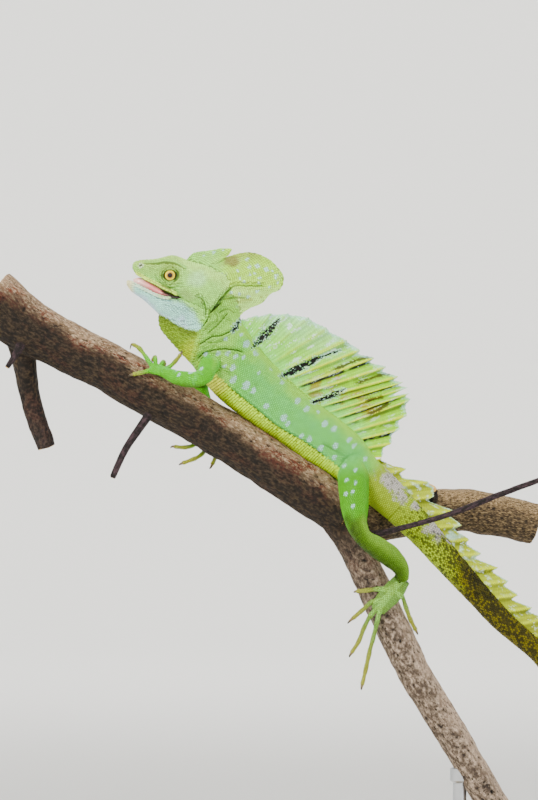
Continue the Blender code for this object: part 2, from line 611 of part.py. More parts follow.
def stand(group, branch):
    """The flat base board and the steel rod that carries the branch."""
    bpy.ops.mesh.primitive_cube_add(size=1, location=(0, 0, BASE_THICK / 2 * MM))
    board = bpy.context.object
    board.name = "stand_base"
    board.data.transform(Matrix.Diagonal((BASE_LENGTH, BASE_DEPTH, BASE_THICK, 1 / MM)) * MM)
    rounding = board.modifiers.new("Round", "BEVEL")
    rounding.width = BASE_ROUND * MM
    rounding.segments = 3
    place(board, "board", group, None)
    low = BASE_THICK + GAP
    high = FORK_Z + ROD_TOP
    bpy.ops.mesh.primitive_cylinder_add(
        vertices=24, radius=ROD_RADIUS * MM, depth=(high - low) * MM,
        location=((FORK_X + ROD_X) * MM, 0, (high + low) / 2 * MM),
    )
    rod = bpy.context.object
    rod.name = "stand_rod"
    place(carve(rod, [branch]), "steel", group, None)


def build():
    for obj in list(bpy.data.objects):
        bpy.data.objects.remove(obj)
    group = bpy.data.collections.new("green_basilisk")
    bpy.context.scene.collection.children.link(group)
    cutters = bpy.data.collections.new("cutters")
    bpy.context.scene.collection.children.link(cutters)
    fork = bpy.data.objects.new("fork_of_branch", None)
    group.objects.link(fork)

    branch = perch()
    skull, eyes = head()
    jaw = lower_jaw(skull)
    tongue = carve(loft("tongue", body_rings(TONGUE, 8, 12, 0)), [skull, jaw])
    rings = body_rings(SPINE, SPINE_RINGS, SPINE_SIDES, 0.1)
    cuts = [ring_at(SPINE, SPINE_RINGS, number) for number in SPINE_CUTS]
    trunk = {}
    for number, (name, part) in enumerate(zip(SPINE_NAMES, parted(rings, cuts))):
        step = 2 if number >= THIN_TAIL_FROM else 1  # the thin tail needs half the sides
        trunk[name] = loft(name, [ring[::step] for ring in part])
    neck = carve(trunk["neck"], [skull, jaw])
    rear = carve(crest("head_crest_rear", REAR_CREST_ROOT, REAR_CREST_EDGE, 15, 5, 8, 1.1, 0), [skull, neck])
    front = crest("head_crest_front", FRONT_CREST_ROOT, FRONT_CREST_EDGE, 11, 4, 4.5, 0.9, -1.8)
    carve(front, [skull, rear])

    for name in ("torso_front", "torso_rear", "tail_1", "tail_2"):
        carve(trunk[name], [branch])
    back = carve(sail(), [trunk["torso_front"], trunk["torso_rear"], trunk["tail_1"], neck])
    tail = carve(tail_crest(rings), [trunk[name] for name in SPINE_NAMES[2:]])

    limbs = {}
    for side, arm, leg in (("l", LEFT_ARM, LEFT_LEG), ("r", RIGHT_ARM, RIGHT_LEG)):
        upper, fore = parted(limb_rings(arm, LIMB_RINGS, 14, (0.3, 0, 1)), [ELBOW_RING])
        limbs["upper_arm_" + side] = carve(loft("upper_arm_" + side, upper), [trunk["torso_front"], neck])
        limbs["forearm_" + side] = loft("forearm_" + side, fore)
        thigh, shank = parted(limb_rings(leg, LIMB_RINGS, 16, (1, 0, 0.3)), [KNEE_RING])
        limbs["thigh_" + side] = loft("thigh_" + side, thigh)
        carve(limbs["thigh_" + side], [trunk["torso_rear"], trunk["tail_1"], branch])
        limbs["shank_" + side] = carve(loft("shank_" + side, shank), [branch])
    hands = {
        "hand_l": (LEFT_PALM, (0.4, -0.6, 0.7), FINGER_RADIUS, "forearm_l"),
        "hand_r": (RIGHT_PALM, (0, 1, 0), FINGER_RADIUS, "forearm_r"),
        "foot_l": (LEFT_SOLE, (0, -1, 0), TOE_RADIUS, "shank_l"),
        "foot_r": (RIGHT_SOLE, (0, 1, 0), TOE_RADIUS, "shank_r"),
    }
    for name, (rows, facing, radius, limb) in hands.items():
        limbs[name] = carve(extremity(name, rows, facing, radius), [branch])
        carve(limbs[name], [limbs[limb]])

    colours = {
        "green": [skull, neck, *trunk.values(), *limbs.values()], "sail": [back, tail, rear, front],
        "pale": [jaw], "pink": [tongue], "gold": eyes, "bark": [branch],
    }
    for colour, pieces in colours.items():
        for piece in pieces:
            place(piece, colour, group, fork)
    fork.location = (FORK_X * MM, 0, FORK_Z * MM)
    bpy.context.view_layer.update()
    branch_in_place = branch.copy()
    branch_in_place.data = branch.data.copy()
    branch_in_place.parent = None
    branch_in_place.matrix_world = branch.matrix_world.copy()
    stand(group, branch_in_place)
    bpy.data.objects.remove(branch_in_place)
    finish("steel").node_tree.nodes["Principled BSDF"].inputs["Metallic"].default_value = 1


build()
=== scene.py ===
"""Green basilisk on a cut branch: the looks of a still, life-size display model, made round its solids.

Places on the animal and the branch are in millimetres from the fork of the branch: x to the right, y away
from the viewer and z up. Each section makes one piece of the display, from its shape to its finish.
"""

import math

import bmesh
import bpy
import numpy as np
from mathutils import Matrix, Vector, noise
from mathutils.bvhtree import BVHTree
from mathutils.kdtree import KDTree


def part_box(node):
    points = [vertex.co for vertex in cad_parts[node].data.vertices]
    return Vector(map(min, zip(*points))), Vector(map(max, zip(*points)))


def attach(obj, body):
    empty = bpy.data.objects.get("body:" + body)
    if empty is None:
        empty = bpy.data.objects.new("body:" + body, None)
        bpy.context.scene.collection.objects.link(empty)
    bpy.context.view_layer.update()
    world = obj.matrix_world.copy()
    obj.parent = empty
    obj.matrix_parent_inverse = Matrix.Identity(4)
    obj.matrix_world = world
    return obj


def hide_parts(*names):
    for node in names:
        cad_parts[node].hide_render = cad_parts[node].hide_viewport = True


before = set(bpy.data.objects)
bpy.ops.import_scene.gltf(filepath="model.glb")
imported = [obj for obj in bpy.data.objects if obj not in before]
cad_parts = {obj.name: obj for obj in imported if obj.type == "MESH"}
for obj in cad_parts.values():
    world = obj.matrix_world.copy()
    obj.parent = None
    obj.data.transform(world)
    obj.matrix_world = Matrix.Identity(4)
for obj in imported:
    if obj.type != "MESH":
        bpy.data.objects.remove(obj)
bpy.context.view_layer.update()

# The studio: a matt pale cove that runs up into a wall all round and has lamps of its own, soft boxes for
# the lizard, and a camera level with it and square to its left side, 3 m away.
MM = 0.001
FORK = np.array((-10.0, 0.0, 447.0))  # the fork of the branch, from the middle of the base's underside
PHOTO_WIDTH, PHOTO_HEIGHT = 538, 800
PIXEL = 0.66  # millimetres of the lizard to one pixel of the photograph
FORK_PIXEL = (340, 512)
CAMERA_DISTANCE, SENSOR = 3.0, 36.0
COVE_FLOOR, COVE_BEND, COVE_WALL = 6.5, 2.5, 6.5
COVE_LAMPS, COVE_LAMP_POWER, COVE_LAMP_RING, COVE_LAMP_HEIGHT = 8, 165, 4.6, 3.6
COVE_COLOUR = "#E9E8E4"
COVE_REACH = COVE_FLOOR + COVE_BEND
COVE_SIDES = 64
LIZARD_AT = (-0.03, 0, 0.5)
SOFT_BOXES = (  # name, place and size in metres, watts and tint
    ("key", (-1.3, -1.9, 2.2), 0.9, 96, "#FFF9F0"),
    ("fill", (1.9, -1.7, 0.9), 1.8, 12, "#F2F7FF"),
    ("rim", (0.7, 1.7, 1.9), 1.2, 20, "#FFFFFF"),
    ("top", (-0.2, 0.1, 2.6), 1.1, 26, "#FFFFFF"),
)


def linear(code):
    """A colour from its sRGB hex value."""
    parts = [int(code[i : i + 2], 16) / 255 for i in (1, 3, 5)]
    return (*[p / 12.92 if p <= 0.04045 else ((p + 0.055) / 1.055) ** 2.4 for p in parts], 1)


def add(tree, kind, links=None, **settings):
    """Adds a node with its settings, and with a value or another node's output for each named input."""
    node = tree.nodes.new("ShaderNode" + kind)
    for name, value in settings.items():
        setattr(node, name, value)
    for name, value in (links or {}).items():
        if isinstance(value, bpy.types.NodeSocket):
            tree.links.new(value, node.inputs[name])
        else:
            node.inputs[name].default_value = value
    return node


def finish(name, **values):
    """A new material and its node tree and shader. Values are the shader's own inputs, by name."""
    made = bpy.data.materials.new(name)
    made.use_nodes = True
    shader = made.node_tree.nodes["Principled BSDF"]
    for key, value in values.items():
        shader.inputs[key.replace("_", " ")].default_value = value
    return made, made.node_tree, shader


def mesh_piece(name, points, faces, material):
    """A new object from points in millimetres from the fork of the branch."""
    data = bpy.data.meshes.new(name)
    data.from_pydata(((np.asarray(points) + FORK) * MM).tolist(), [], faces)
    data.update()
    data.shade_smooth()
    piece = bpy.data.objects.new(name, data)
    bpy.context.scene.collection.objects.link(piece)
    data.materials.append(material)
    return piece


paper, _, _ = finish("matt_paper", Base_Color=linear(COVE_COLOUR), Roughness=0.9)
around = np.linspace(0, 2 * math.pi, COVE_SIDES + 1)[:-1]
profile = [(0.01, 0), (COVE_FLOOR, 0)]
profile += [
    (COVE_FLOOR + COVE_BEND * math.sin(a), COVE_BEND * (1 - math.cos(a)))
    for a in np.linspace(0.1, math.pi / 2, 14)
]
profile.append((COVE_REACH, COVE_WALL))
cove_points = [(r * math.cos(a) / MM, r * math.sin(a) / MM, z / MM) for r, z in profile for a in around]
cove_faces = [tuple(range(COVE_SIDES))]
for j in range(len(profile) - 1):
    low, high = j * COVE_SIDES, (j + 1) * COVE_SIDES
    for i in range(COVE_SIDES):
        after = (i + 1) % COVE_SIDES
        cove_faces.append((low + i, low + after, high + after, high + i))
cove = mesh_piece("cove", np.array(cove_points) - FORK, cove_faces, paper)

camera_data = bpy.data.cameras.new("camera")
camera_data.sensor_fit = "VERTICAL"
camera_data.sensor_height = SENSOR
camera_data.lens = SENSOR * CAMERA_DISTANCE / (PHOTO_HEIGHT * PIXEL * MM)
camera_data.clip_start = 0.1
camera_data.clip_end = 60
camera = bpy.data.objects.new("camera", camera_data)
camera.location = (
    FORK[0] * MM + (PHOTO_WIDTH / 2 - FORK_PIXEL[0]) * PIXEL * MM,
    -CAMERA_DISTANCE,
    FORK[2] * MM + (FORK_PIXEL[1] - PHOTO_HEIGHT / 2) * PIXEL * MM,
)
camera.rotation_euler = (math.pi / 2, 0, 0)
bpy.context.scene.collection.objects.link(camera)
bpy.context.scene.camera = camera


def lamp(name, place, target, size, power, tint):
    """A round soft box at a place in metres, facing a target."""
    light = bpy.data.lights.new(name, "AREA")
    light.shape = "DISK"
    light.size = size
    light.energy = power
    light.color = linear(tint)[:3]
    box = bpy.data.objects.new(name, light)
    box.location = place
    box.rotation_euler = (Vector(target) - Vector(place)).to_track_quat("-Z", "Y").to_euler()
    bpy.context.scene.collection.objects.link(box)


for name, place, size, power, tint in SOFT_BOXES:
    lamp(name, place, LIZARD_AT, size, power, tint)
for number in range(COVE_LAMPS):
    turn = 2 * math.pi * number / COVE_LAMPS
    place = (COVE_LAMP_RING * math.cos(turn), COVE_LAMP_RING * math.sin(turn), COVE_LAMP_HEIGHT)
    target = (COVE_REACH * math.cos(turn), COVE_REACH * math.sin(turn), 0.8)
    lamp(f"cove_{number}", place, target, 1.2, COVE_LAMP_POWER, "#FFFFFF")
air = bpy.data.worlds.new("air")
air.use_nodes = True
air.node_tree.nodes["Background"].inputs["Color"].default_value = linear("#F4F6F8")
air.node_tree.nodes["Background"].inputs["Strength"].default_value = 0.85
bpy.context.scene.world = air

# The branch: a length of dead forest wood with its bark on, sawn off at its three ends. Bark is corky and
# matt, with dark pores drawn out along the wood; its underside is painted darker, as shade and as algae on
# the damp wood.
MAIN_BRANCH = (
    (-231, 0, 142, 20), (-208, 0, 124, 18.5), (-185, 0, 111.5, 16.5), (-158, 0, 98, 16.2),
    (-125, 0, 79, 16.6), (-92, 0, 60.5, 16.4), (-62, 0, 42, 16.3), (-26, 0, 18.5, 16.5), (4, 0, -3, 15),
)
LOWER_FORK = (
    (-14, 0, 9, 10), (0, 0, -6, 12), (9.5, 0, -22.5, 11), (17.5, 0, -39, 11), (26, 0, -58, 11.2),
    (38.5, 0, -84.5, 11.2), (53, 0, -113, 10.9), (68, 0, -137, 10.7), (99, 0, -190, 10.3),
    (106, 0, -202, 10.2),
)
RIGHT_FORK = (
    (-12, 2, 8, 12), (3, 5, -1, 14), (23, 14, -5.5, 14.2), (53, 25, -1, 14.5), (82, 32, 0.5, 14.2),
    (109, 36, -4, 14), (131, 39, -9, 13.6),
)
TWIGS = {
    "right": ((10, -4, -14, 3.4), (24, -14, -14, 2.6), (40, -19, -10, 2.1), (73, -20, -0.5, 2.2),
              (105, -16, 12, 2.2), (134, -12, 22.5, 2)),
    "left": ((-120, -4, 76, 4.4), (-125, -8, 66, 3.4), (-133, -10, 54, 2.9), (-141, -10, 42, 2.6),
             (-150, -8, 22.5, 2.3)),
    "stub": ((-207, -8, 118, 4), (-212, -14, 106, 2.8), (-219, -17, 95, 1.9)),
    "shoot": ((-213, 4, 122, 10), (-209, 8, 100, 8), (-204, 10, 72, 7), (-194, 10, 42, 6.4)),
    "knot": ((57, 20, 4, 8), (59, 15, 12, 6.5), (60, 12, 16, 5)),
}
BARK_VOXEL = 0.9
PORE_LENGTH, PORE_WIDTH = 3.2, 1.3
ROUTE_STEP = 400  # each route of wood counts its length from this much further on than the one before it
BARK_PATTERNS = {  # a texture, the length of its marks along the wood, and its settings
    "patches": ("TexNoise", 24.6, {"Detail": 5.0, "Roughness": 0.62}),
    "flecks": ("TexNoise", 3.37, {"Detail": 6.0, "Roughness": 0.72}),
    "crumbs": ("TexNoise", 1.684, {"Detail": 4.0, "Roughness": 0.7}),
    "pores": ("TexVoronoi", 3.37, {"Randomness": 1.0}),
    "specks": ("TexVoronoi", 1.882, {"Randomness": 1.0}),
}
CORK = "#6A4E36"
# What lies over the cork: each layer is where patterns run between two levels, and has a colour. A second
# colour is mixed with it by a pattern of its own.
BARK_LAYERS = (
    ("dry cork", (("patches", 0.36, 0.62),), "#9C8468"),
    ("shaded cork", (("damp", 0.15, 0.85),), "#42301F"),
    ("bleached flecks", (("flecks", 0.48, 0.72), ("damp", 0.8, 0.1)), "#D8C09E"),
    ("rusty scars", (("patches", 0.5, 0.62), ("flecks", 0.6, 0.46)), "#6E3524"),
    ("wood of the lower fork", (("fork", 0, 1),), "#947B66", "#CDB69F", ("flecks", 0.34, 0.66)),
    ("flaking right fork", (("broken", 0, 1),), "#5C4A32", "#A88C62", ("crumbs", 0.45, 0.6)),
    # algae on the side that faces down, their dark colour there also painted shade
    ("algae", (("damp", 0, 1), ("flecks", 0.76, 0.44)), "#171310", "#453E2E", ("flecks", 0.48, 0.66)),
    ("pores", (("pores", 0.34, 0.2), ("crumbs", 0.43, 0.57)), "#0E0D0C"),
    ("dust", (("specks", 0.22, 0.1), ("damp", 0.6, 0.2)), "#E2C297"),
    # painted shade in the pits that are pressed into the bark
    ("pits", (("pit", 0, 1),), "#100E0C"),
    ("young twigs", (("twig", 0, 1),), "#181414", "#433237", ("flecks", 0.45, 0.62)),
    ("sawn ends", (("sawn", 0, 1),), "#B28641", "#EFC368", ("crumbs", 0.4, 0.6)),
)


def smooth(rows, count):
    """Count rows, evenly spaced along a smooth curve through the given rows."""
    rows = np.array(rows, float)
    steps = np.linalg.norm(np.diff(rows, axis=0), axis=1)
    knots = np.concatenate([[0], np.cumsum(steps)])
    slopes = np.gradient(rows, knots, axis=0)
    places = np.linspace(0, knots[-1], count)
    i = np.clip(np.searchsorted(knots, places, side="right") - 1, 0, len(steps) - 1)
    t = ((places - knots[i]) / steps[i])[:, None]
    ends = rows[i] * (2 * t**3 - 3 * t**2 + 1) + rows[i + 1] * (3 * t**2 - 2 * t**3)
    pulls = slopes[i] * (t**3 - 2 * t**2 + t) + slopes[i + 1] * (t**3 - t**2)
    return ends + steps[i][:, None] * pulls


def limb_grid(rows, count, sides, facing):
    """Rings along a route of x, y, z, half height towards facing and half width."""
    rows = smooth(rows, count)
    runs = np.gradient(rows[:, :3], axis=0)
    runs /= np.linalg.norm(runs, axis=1)[:, None]
    across = np.cross(facing, runs)
    across /= np.linalg.norm(across, axis=1)[:, None]
    up = np.cross(runs, across)
    angles = (np.arange(sides) * 2 * math.pi / sides)[None, :, None]
    high, wide = rows[:, None, 3:4], rows[:, None, 4:5]
    return rows[:, None, :3] + up[:, None] * high * np.cos(angles) + across[:, None] * wide * np.sin(angles)


def tube_grid(route, count, sides):
    """Rings of a round tube along a route of x, y, z and radius."""
    rows = [(*row, row[3]) for row in route]
    run = np.abs(np.array(route[-1][:3], float) - np.array(route[0][:3], float))
    facing = np.zeros(3)
    facing[np.argmin(run)] = 1
    return limb_grid(rows, count, sides, facing)


def closed_faces(shape, start):
    """The faces of a grid of rings with both ends filled, its first point being number start."""
    rings, sides = shape[:2]
    near = np.arange(rings * sides).reshape(rings, sides) + start
    after = np.roll(near, -1, axis=1)
    quads = np.stack([near[:-1], after[:-1], after[1:], near[1:]], axis=-1).reshape(-1, 4)
    return quads.tolist() + [near[0][::-1].tolist(), near[-1].tolist()]


def fused(name, grids, voxel, material, rounds):
    """One skin round all the grids, remeshed at the voxel's size and then eased by rounds of smoothing."""
    points, faces = [], []
    start = 0
    for grid in grids:
        points.append(grid.reshape(-1, 3))
        faces += closed_faces(grid.shape, start)
        start += grid.shape[0] * grid.shape[1]
    piece = mesh_piece(name, np.concatenate(points), faces, material)
    remesh = piece.modifiers.new("Fuse", "REMESH")
    remesh.mode = "VOXEL"
    remesh.voxel_size = voxel * MM
    remesh.use_smooth_shade = True
    ease = piece.modifiers.new("Ease", "SMOOTH")
    ease.iterations = rounds
    bpy.context.view_layer.update()
    made = bpy.data.meshes.new_from_object(piece.evaluated_get(bpy.context.evaluated_depsgraph_get()))
    piece.modifiers.clear()
    piece.data = made
    return piece


def read_points(piece):
    """A piece's points in millimetres from the fork, and its normals."""
    count = len(piece.data.vertices)
    points, normals = np.zeros(count * 3), np.zeros(count * 3)
    piece.data.vertices.foreach_get("co", points)
    piece.data.vertex_normals.foreach_get("vector", normals)
    return points.reshape(-1, 3) / MM - FORK, normals.reshape(-1, 3)


def write_points(piece, points):
    piece.data.vertices.foreach_set("co", ((points + FORK) * MM).ravel())
    piece.data.update()


def keep_values(piece, name, values):
    """Stores one number or vector a point on the piece, for its material to read."""
    values = np.asarray(values, float)
    kind = "FLOAT" if values.ndim == 1 else "FLOAT_VECTOR"
    held = piece.data.attributes.new(name, kind, "POINT")
    held.data.foreach_set("value" if values.ndim == 1 else "vector", values.ravel())


def rough(points, size, seed=0.0, octaves=3):
    """Fractal noise from about -1 to 1 at each point, for lumps of about the given size."""
    spots = np.asarray(points) / size + seed
    return np.array([
        noise.fractal(spot, 1.0, 2.0, octaves, noise_basis="PERLIN_ORIGINAL") for spot in spots.tolist()])


branch_routes = [MAIN_BRANCH, LOWER_FORK, RIGHT_FORK, *TWIGS.values()]
branch_grids = [
    tube_grid(MAIN_BRANCH, 130, 64), tube_grid(LOWER_FORK, 110, 48), tube_grid(RIGHT_FORK, 80, 56)]
branch_grids += [tube_grid(route, 50, 24) for route in TWIGS.values()]
bark, tree, shader = finish("weathered_bark", Roughness=0.88)
shader.inputs["Specular IOR Level"].default_value = 0.25
branch = fused("perch_bark", branch_grids, BARK_VOXEL, bark, 3)

points, normals = read_points(branch)
best = np.full(len(points), np.inf)
axis = np.zeros((len(points), 9))
for number, (route, grid) in enumerate(zip(branch_routes, branch_grids)):
    middles = grid.mean(axis=1)
    runs = np.gradient(middles, axis=0)
    runs /= np.linalg.norm(runs, axis=1)[:, None]
    lengths = np.concatenate([[0], np.cumsum(np.linalg.norm(np.diff(middles, axis=0), axis=1))])
    radii = np.linalg.norm(grid[:, 0] - middles, axis=1)
    squares = (points**2).sum(axis=1)[:, None] + (middles**2).sum(axis=1) - 2 * points @ middles.T
    at = squares.argmin(axis=1)
    off = np.abs(np.sqrt(np.maximum(squares[np.arange(len(points)), at], 0)) - radii[at])
    off += 0.3 * (number > 2)  # a twig's root belongs to the wood that it grows from
    owned = off < best
    best[owned] = off[owned]
    rows = np.column_stack([middles, runs, lengths + ROUTE_STEP * number, radii, lengths / lengths[-1]])
    axis[owned] = rows[at[owned]]
outward = points - axis[:, :3]
ahead = (outward * axis[:, 3:6]).sum(axis=1)
along = axis[:, 6] + ahead
outward -= axis[:, 3:6] * ahead[:, None]
thick = axis[:, 7] > 5
grain = np.stack([along / PORE_LENGTH, outward[:, 1] / PORE_WIDTH, outward[:, 2] / PORE_WIDTH], axis=1)
swell = 0.55 * rough(points, 17, 3) * thick
ridge = rough(grain, 3.2, 11, 4) * np.where(thick, 0.5, 0.16)
pits = np.clip(rough(grain, 1.15, 29, 2) - 0.28, 0, 1) * np.where(thick, 1.5, 0.4)
points = points + normals * (swell + ridge - pits - 0.15)[:, None]
write_points(branch, points)
keep_values(branch, "grain", grain)
keep_values(branch, "pit", np.clip(pits * 1.6, 0, 1))
keep_values(branch, "twig", np.clip((7.5 - axis[:, 7]) / 3, 0, 1))
on_lower, on_right = along - ROUTE_STEP, along - 2 * ROUTE_STEP  # how far along each fork
keep_values(branch, "fork", (on_lower > 0) * (on_lower < 300) * np.clip((on_lower - 25) / 60, 0, 1))
keep_values(branch, "broken", (on_right > 0) * (on_right < 300) * np.clip((on_right - 15) / 25, 0, 1))
# How far each point faces down, with some noise: that side gets painted shade and algae, the forks a little
# less than the main branch, and the shoot and knot more
damp = np.clip(1.1 - normals[:, 2] * 1.7 + 0.35 * rough(points, 26, 17, 3), 0, 1)
less_on_forks = np.where(on_lower > 0, 0.85, 1)  # the main branch takes the most rain
damp = np.where(along > 6 * ROUTE_STEP, np.clip(damp + 0.6, 0, 1), damp * less_on_forks)
keep_values(branch, "damp", damp)
end_facing = np.abs((normals * axis[:, 3:6]).sum(axis=1))
keep_values(branch, "sawn", ((axis[:, 8] < 0.02) | (axis[:, 8] > 0.98)) * (end_facing > 0.85) * 1.0)
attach(branch, "root")
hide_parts("perch_branch")

grain_at = add(tree, "Attribute", attribute_name="grain").outputs["Vector"]
patterns = {}
for name, (kind, length, settings) in BARK_PATTERNS.items():
    pattern = add(tree, kind, {"Vector": grain_at, "Scale": PORE_LENGTH / length, **settings})
    patterns[name] = pattern.outputs["Fac" if kind == "TexNoise" else "Distance"]
for name in ("damp", "fork", "broken", "pit", "twig", "sawn"):
    patterns[name] = add(tree, "Attribute", attribute_name=name).outputs["Fac"]
colour = linear(CORK)
for _, places, code, *second in BARK_LAYERS:
    over = linear(code)
    if second:
        code, (name, low, high) = second
        share = add(tree, "MapRange", {"Value": patterns[name], "From Min": low, "From Max": high})
        mixed = add(tree, "Mix", {0: share.outputs["Result"], 6: over, 7: linear(code)}, data_type="RGBA")
        over = mixed.outputs[2]
    factor = 1.0
    for name, low, high in places:
        share = add(tree, "MapRange", {"Value": patterns[name], "From Min": low, "From Max": high})
        both = add(tree, "Math", {0: factor, 1: share.outputs["Result"]}, operation="MULTIPLY")
        factor = both.outputs[0]
    colour = add(tree, "Mix", {0: factor, 6: colour, 7: over}, data_type="RGBA").outputs[2]
tree.links.new(colour, shader.inputs["Base Color"])
coarse = add(tree, "Bump", {"Height": patterns["flecks"], "Strength": 0.7, "Distance": 1.2 * MM})
bump = add(tree, "Bump", {
    "Height": patterns["crumbs"], "Strength": 0.6, "Distance": 0.5 * MM, "Normal": coarse.outputs["Normal"]})
tree.links.new(bump.outputs["Normal"], shader.inputs["Normal"])

# The lizard's body: one skin over head, trunk, tail and limbs. The living skin is dry and thin, a little
# translucent, tight over the skull and loose at the throat, neck and joints, where it folds.
HEAD = (
    (-137, 163.4, -137, 161, 1.6), (-135.8, 165, -135.5, 158.2, 3.2), (-132.5, 166.2, -132, 155.4, 4.4),
    (-127.5, 166.6, -127.5, 152.4, 5.3), (-121.5, 167, -122.5, 149.4, 6.5), (-116, 168.4, -117, 146.6, 8),
    (-110.5, 169.4, -111.5, 143.8, 9.2), (-105, 168, -106, 140.8, 10.2), (-98, 165, -100.5, 137.5, 11.4),
    (-90, 162.6, -95, 134.2, 12), (-82, 159.6, -90, 131.4, 11.2), (-75, 155.5, -86, 130.8, 8.6),
    (-71, 151, -82, 133, 4.6),
)
JAW = (
    (-141, 152.4, -140.8, 150, 1.6), (-139.6, 153, -139.2, 147.6, 3), (-136, 151.2, -135.8, 144.4, 4.1),
    (-131, 148.8, -131, 141, 5), (-124, 145.4, -124.5, 135.6, 6.4), (-117, 142.8, -118.6, 130, 8),
    (-111, 141.6, -112, 125.6, 9.4), (-104, 142, -105, 122.2, 10.4), (-97, 140.5, -97.6, 120.8, 10.6),
    (-91, 137.5, -91, 121.4, 9.8), (-86.5, 134.5, -86.5, 124.4, 7), (-84, 132, -84, 128, 3.4),
)
SPINE = (
    (-73, 149, -98, 143, 5, 0), (-69.5, 144, -110, 136, 6.4, 0), (-67.5, 138, -119.5, 129.5, 7.8, 0),
    (-66.5, 131.5, -118.6, 121.5, 9.4, 0), (-65.5, 126.5, -112.4, 113.5, 11.4, 0),
    (-63, 122, -105.4, 105.5, 13.2, 0), (-60, 118, -99, 98.5, 14.4, 0), (-55, 109.5, -91, 88, 15.2, 0),
    (-47.5, 100.5, -79.6, 75, 15.8, 0),
    (-36.5, 88.5, -64.6, 63, 16.2, 0), (-20, 74, -45, 50, 16, 0), (-1.5, 61.5, -26, 36.5, 15, 0),
    (13, 50, -8, 26, 13, 0), (23, 36, 4, 17, 12, 0), (30, 29, 12, 11, 11, 0), (37, 22, 20, 4.5, 10.4, -0.5),
    (49, 9, 34.5, -7.5, 9.4, -1.5), (60, -4.5, 47, -19.5, 8.7, -3), (71.5, -18.5, 59.5, -32.5, 8, -5),
    (93.5, -45.5, 83.5, -57.5, 7, -9), (112.5, -67, 103, -77.5, 6.4, -12.5),
    (132, -85.5, 123.5, -94.5, 5.8, -15), (152, -110.5, 143, -118, 5.3, -16.5),
    (172, -140.5, 162.5, -146, 4.9, -16), (191, -175, 182, -178.5, 4.3, -13), (207, -212, 199, -214, 3.7, -7),
    (221, -250, 214.5, -251, 3.1, 0), (233, -288, 228, -289, 2.5, 7), (247, -325, 243, -327, 2, 12),
    (268, -363, 265, -365, 1.6, 13), (300, -406, 298, -408, 1.1, 8),
)
LEFT_ARM = (
    (-82, -6, 101, 6, 7), (-87, -19, 95.5, 5.8, 6), (-90, -32, 89, 5.2, 5.4), (-94, -35.5, 87.4, 5.1, 5.1),
    (-102, -29.5, 87.6, 5, 4.8), (-110, -21.8, 89.8, 4.2, 4.3), (-115.5, -17.4, 92.2, 3.3, 4),
)
RIGHT_ARM = (
    (-82, 6, 101, 6, 7), (-87, 18, 95, 5.6, 6), (-91.5, 31, 88, 5, 5.2), (-92.5, 34.5, 83, 4.9, 4.9),
    (-90.5, 31.5, 74.5, 4.8, 4.8), (-88, 26.5, 65.5, 4, 4.2), (-86, 22.8, 58, 3.2, 3.8),
)
LEFT_LEG = (
    (7, 1, 40, 8, 9), (8.4, -9, 25, 10, 10.2), (8.8, -16.5, 15.5, 9.8, 9.6), (9.2, -24, 5, 8.8, 8.6),
    (11, -34, -9, 6.4, 6.2), (14.5, -37, -15.5, 5.6, 5.6), (22.5, -33.5, -21.5, 6.6, 6.8),
    (33, -26, -29, 6.6, 6.8),
    (40, -19, -37.6, 5, 5.2), (41, -16.6, -44, 3.8, 5.2),
)
RIGHT_LEG = (
    (6, 4, 30, 9, 9), (-2, 16, 27.5, 8.6, 9), (-11, 31, 26.5, 7.2, 8), (-18.5, 43, 26, 5.4, 5.6),
    (-18.5, 46, 22, 4.9, 4.8), (-12.5, 39.5, 14, 5.6, 6), (-6.5, 30.5, 6.5, 4.8, 5),
    (-2.6, 24, 1.8, 3.8, 4.2), (-3.5, 20.5, 1, 3, 4),
)
PALMS = {
    "hand_l": ((-115, -17, 92, 2.8, 3.8), (-119.5, -15, 93.8, 2.8, 4.8), (-124.5, -13.5, 94.6, 2.2, 4.4)),
    "hand_r": ((-86.5, 22.6, 58.4, 2.6, 3.6), (-85.5, 20.8, 54.5, 2.6, 4.8), (-86, 19.6, 50, 2.2, 4.6)),
    "foot_l": ((41, -16.6, -43.5, 3.2, 5.2), (35.5, -14.4, -51, 3.1, 6.8), (26.5, -13.2, -61.5, 2.4, 5.6),
               (24.5, -13.2, -65, 2, 4.6)),
    "foot_r": ((-3, 21, 0.5, 2.8, 4.2), (-8, 20, 5, 2.8, 5.8), (-15.5, 19.4, 9.5, 2.2, 6.6),
               (-18.5, 19.2, 11.5, 1.9, 5.6)),
}
PALM_FACING = {"hand_l": (0.4, -0.6, 0.7), "hand_r": (0, 1, 0), "foot_l": (0, -1, 0), "foot_r": (0, 1, 0)}
FINGER_RADIUS, TOE_RADIUS, CLAW_TIP = 1.35, 1.45, 0.25
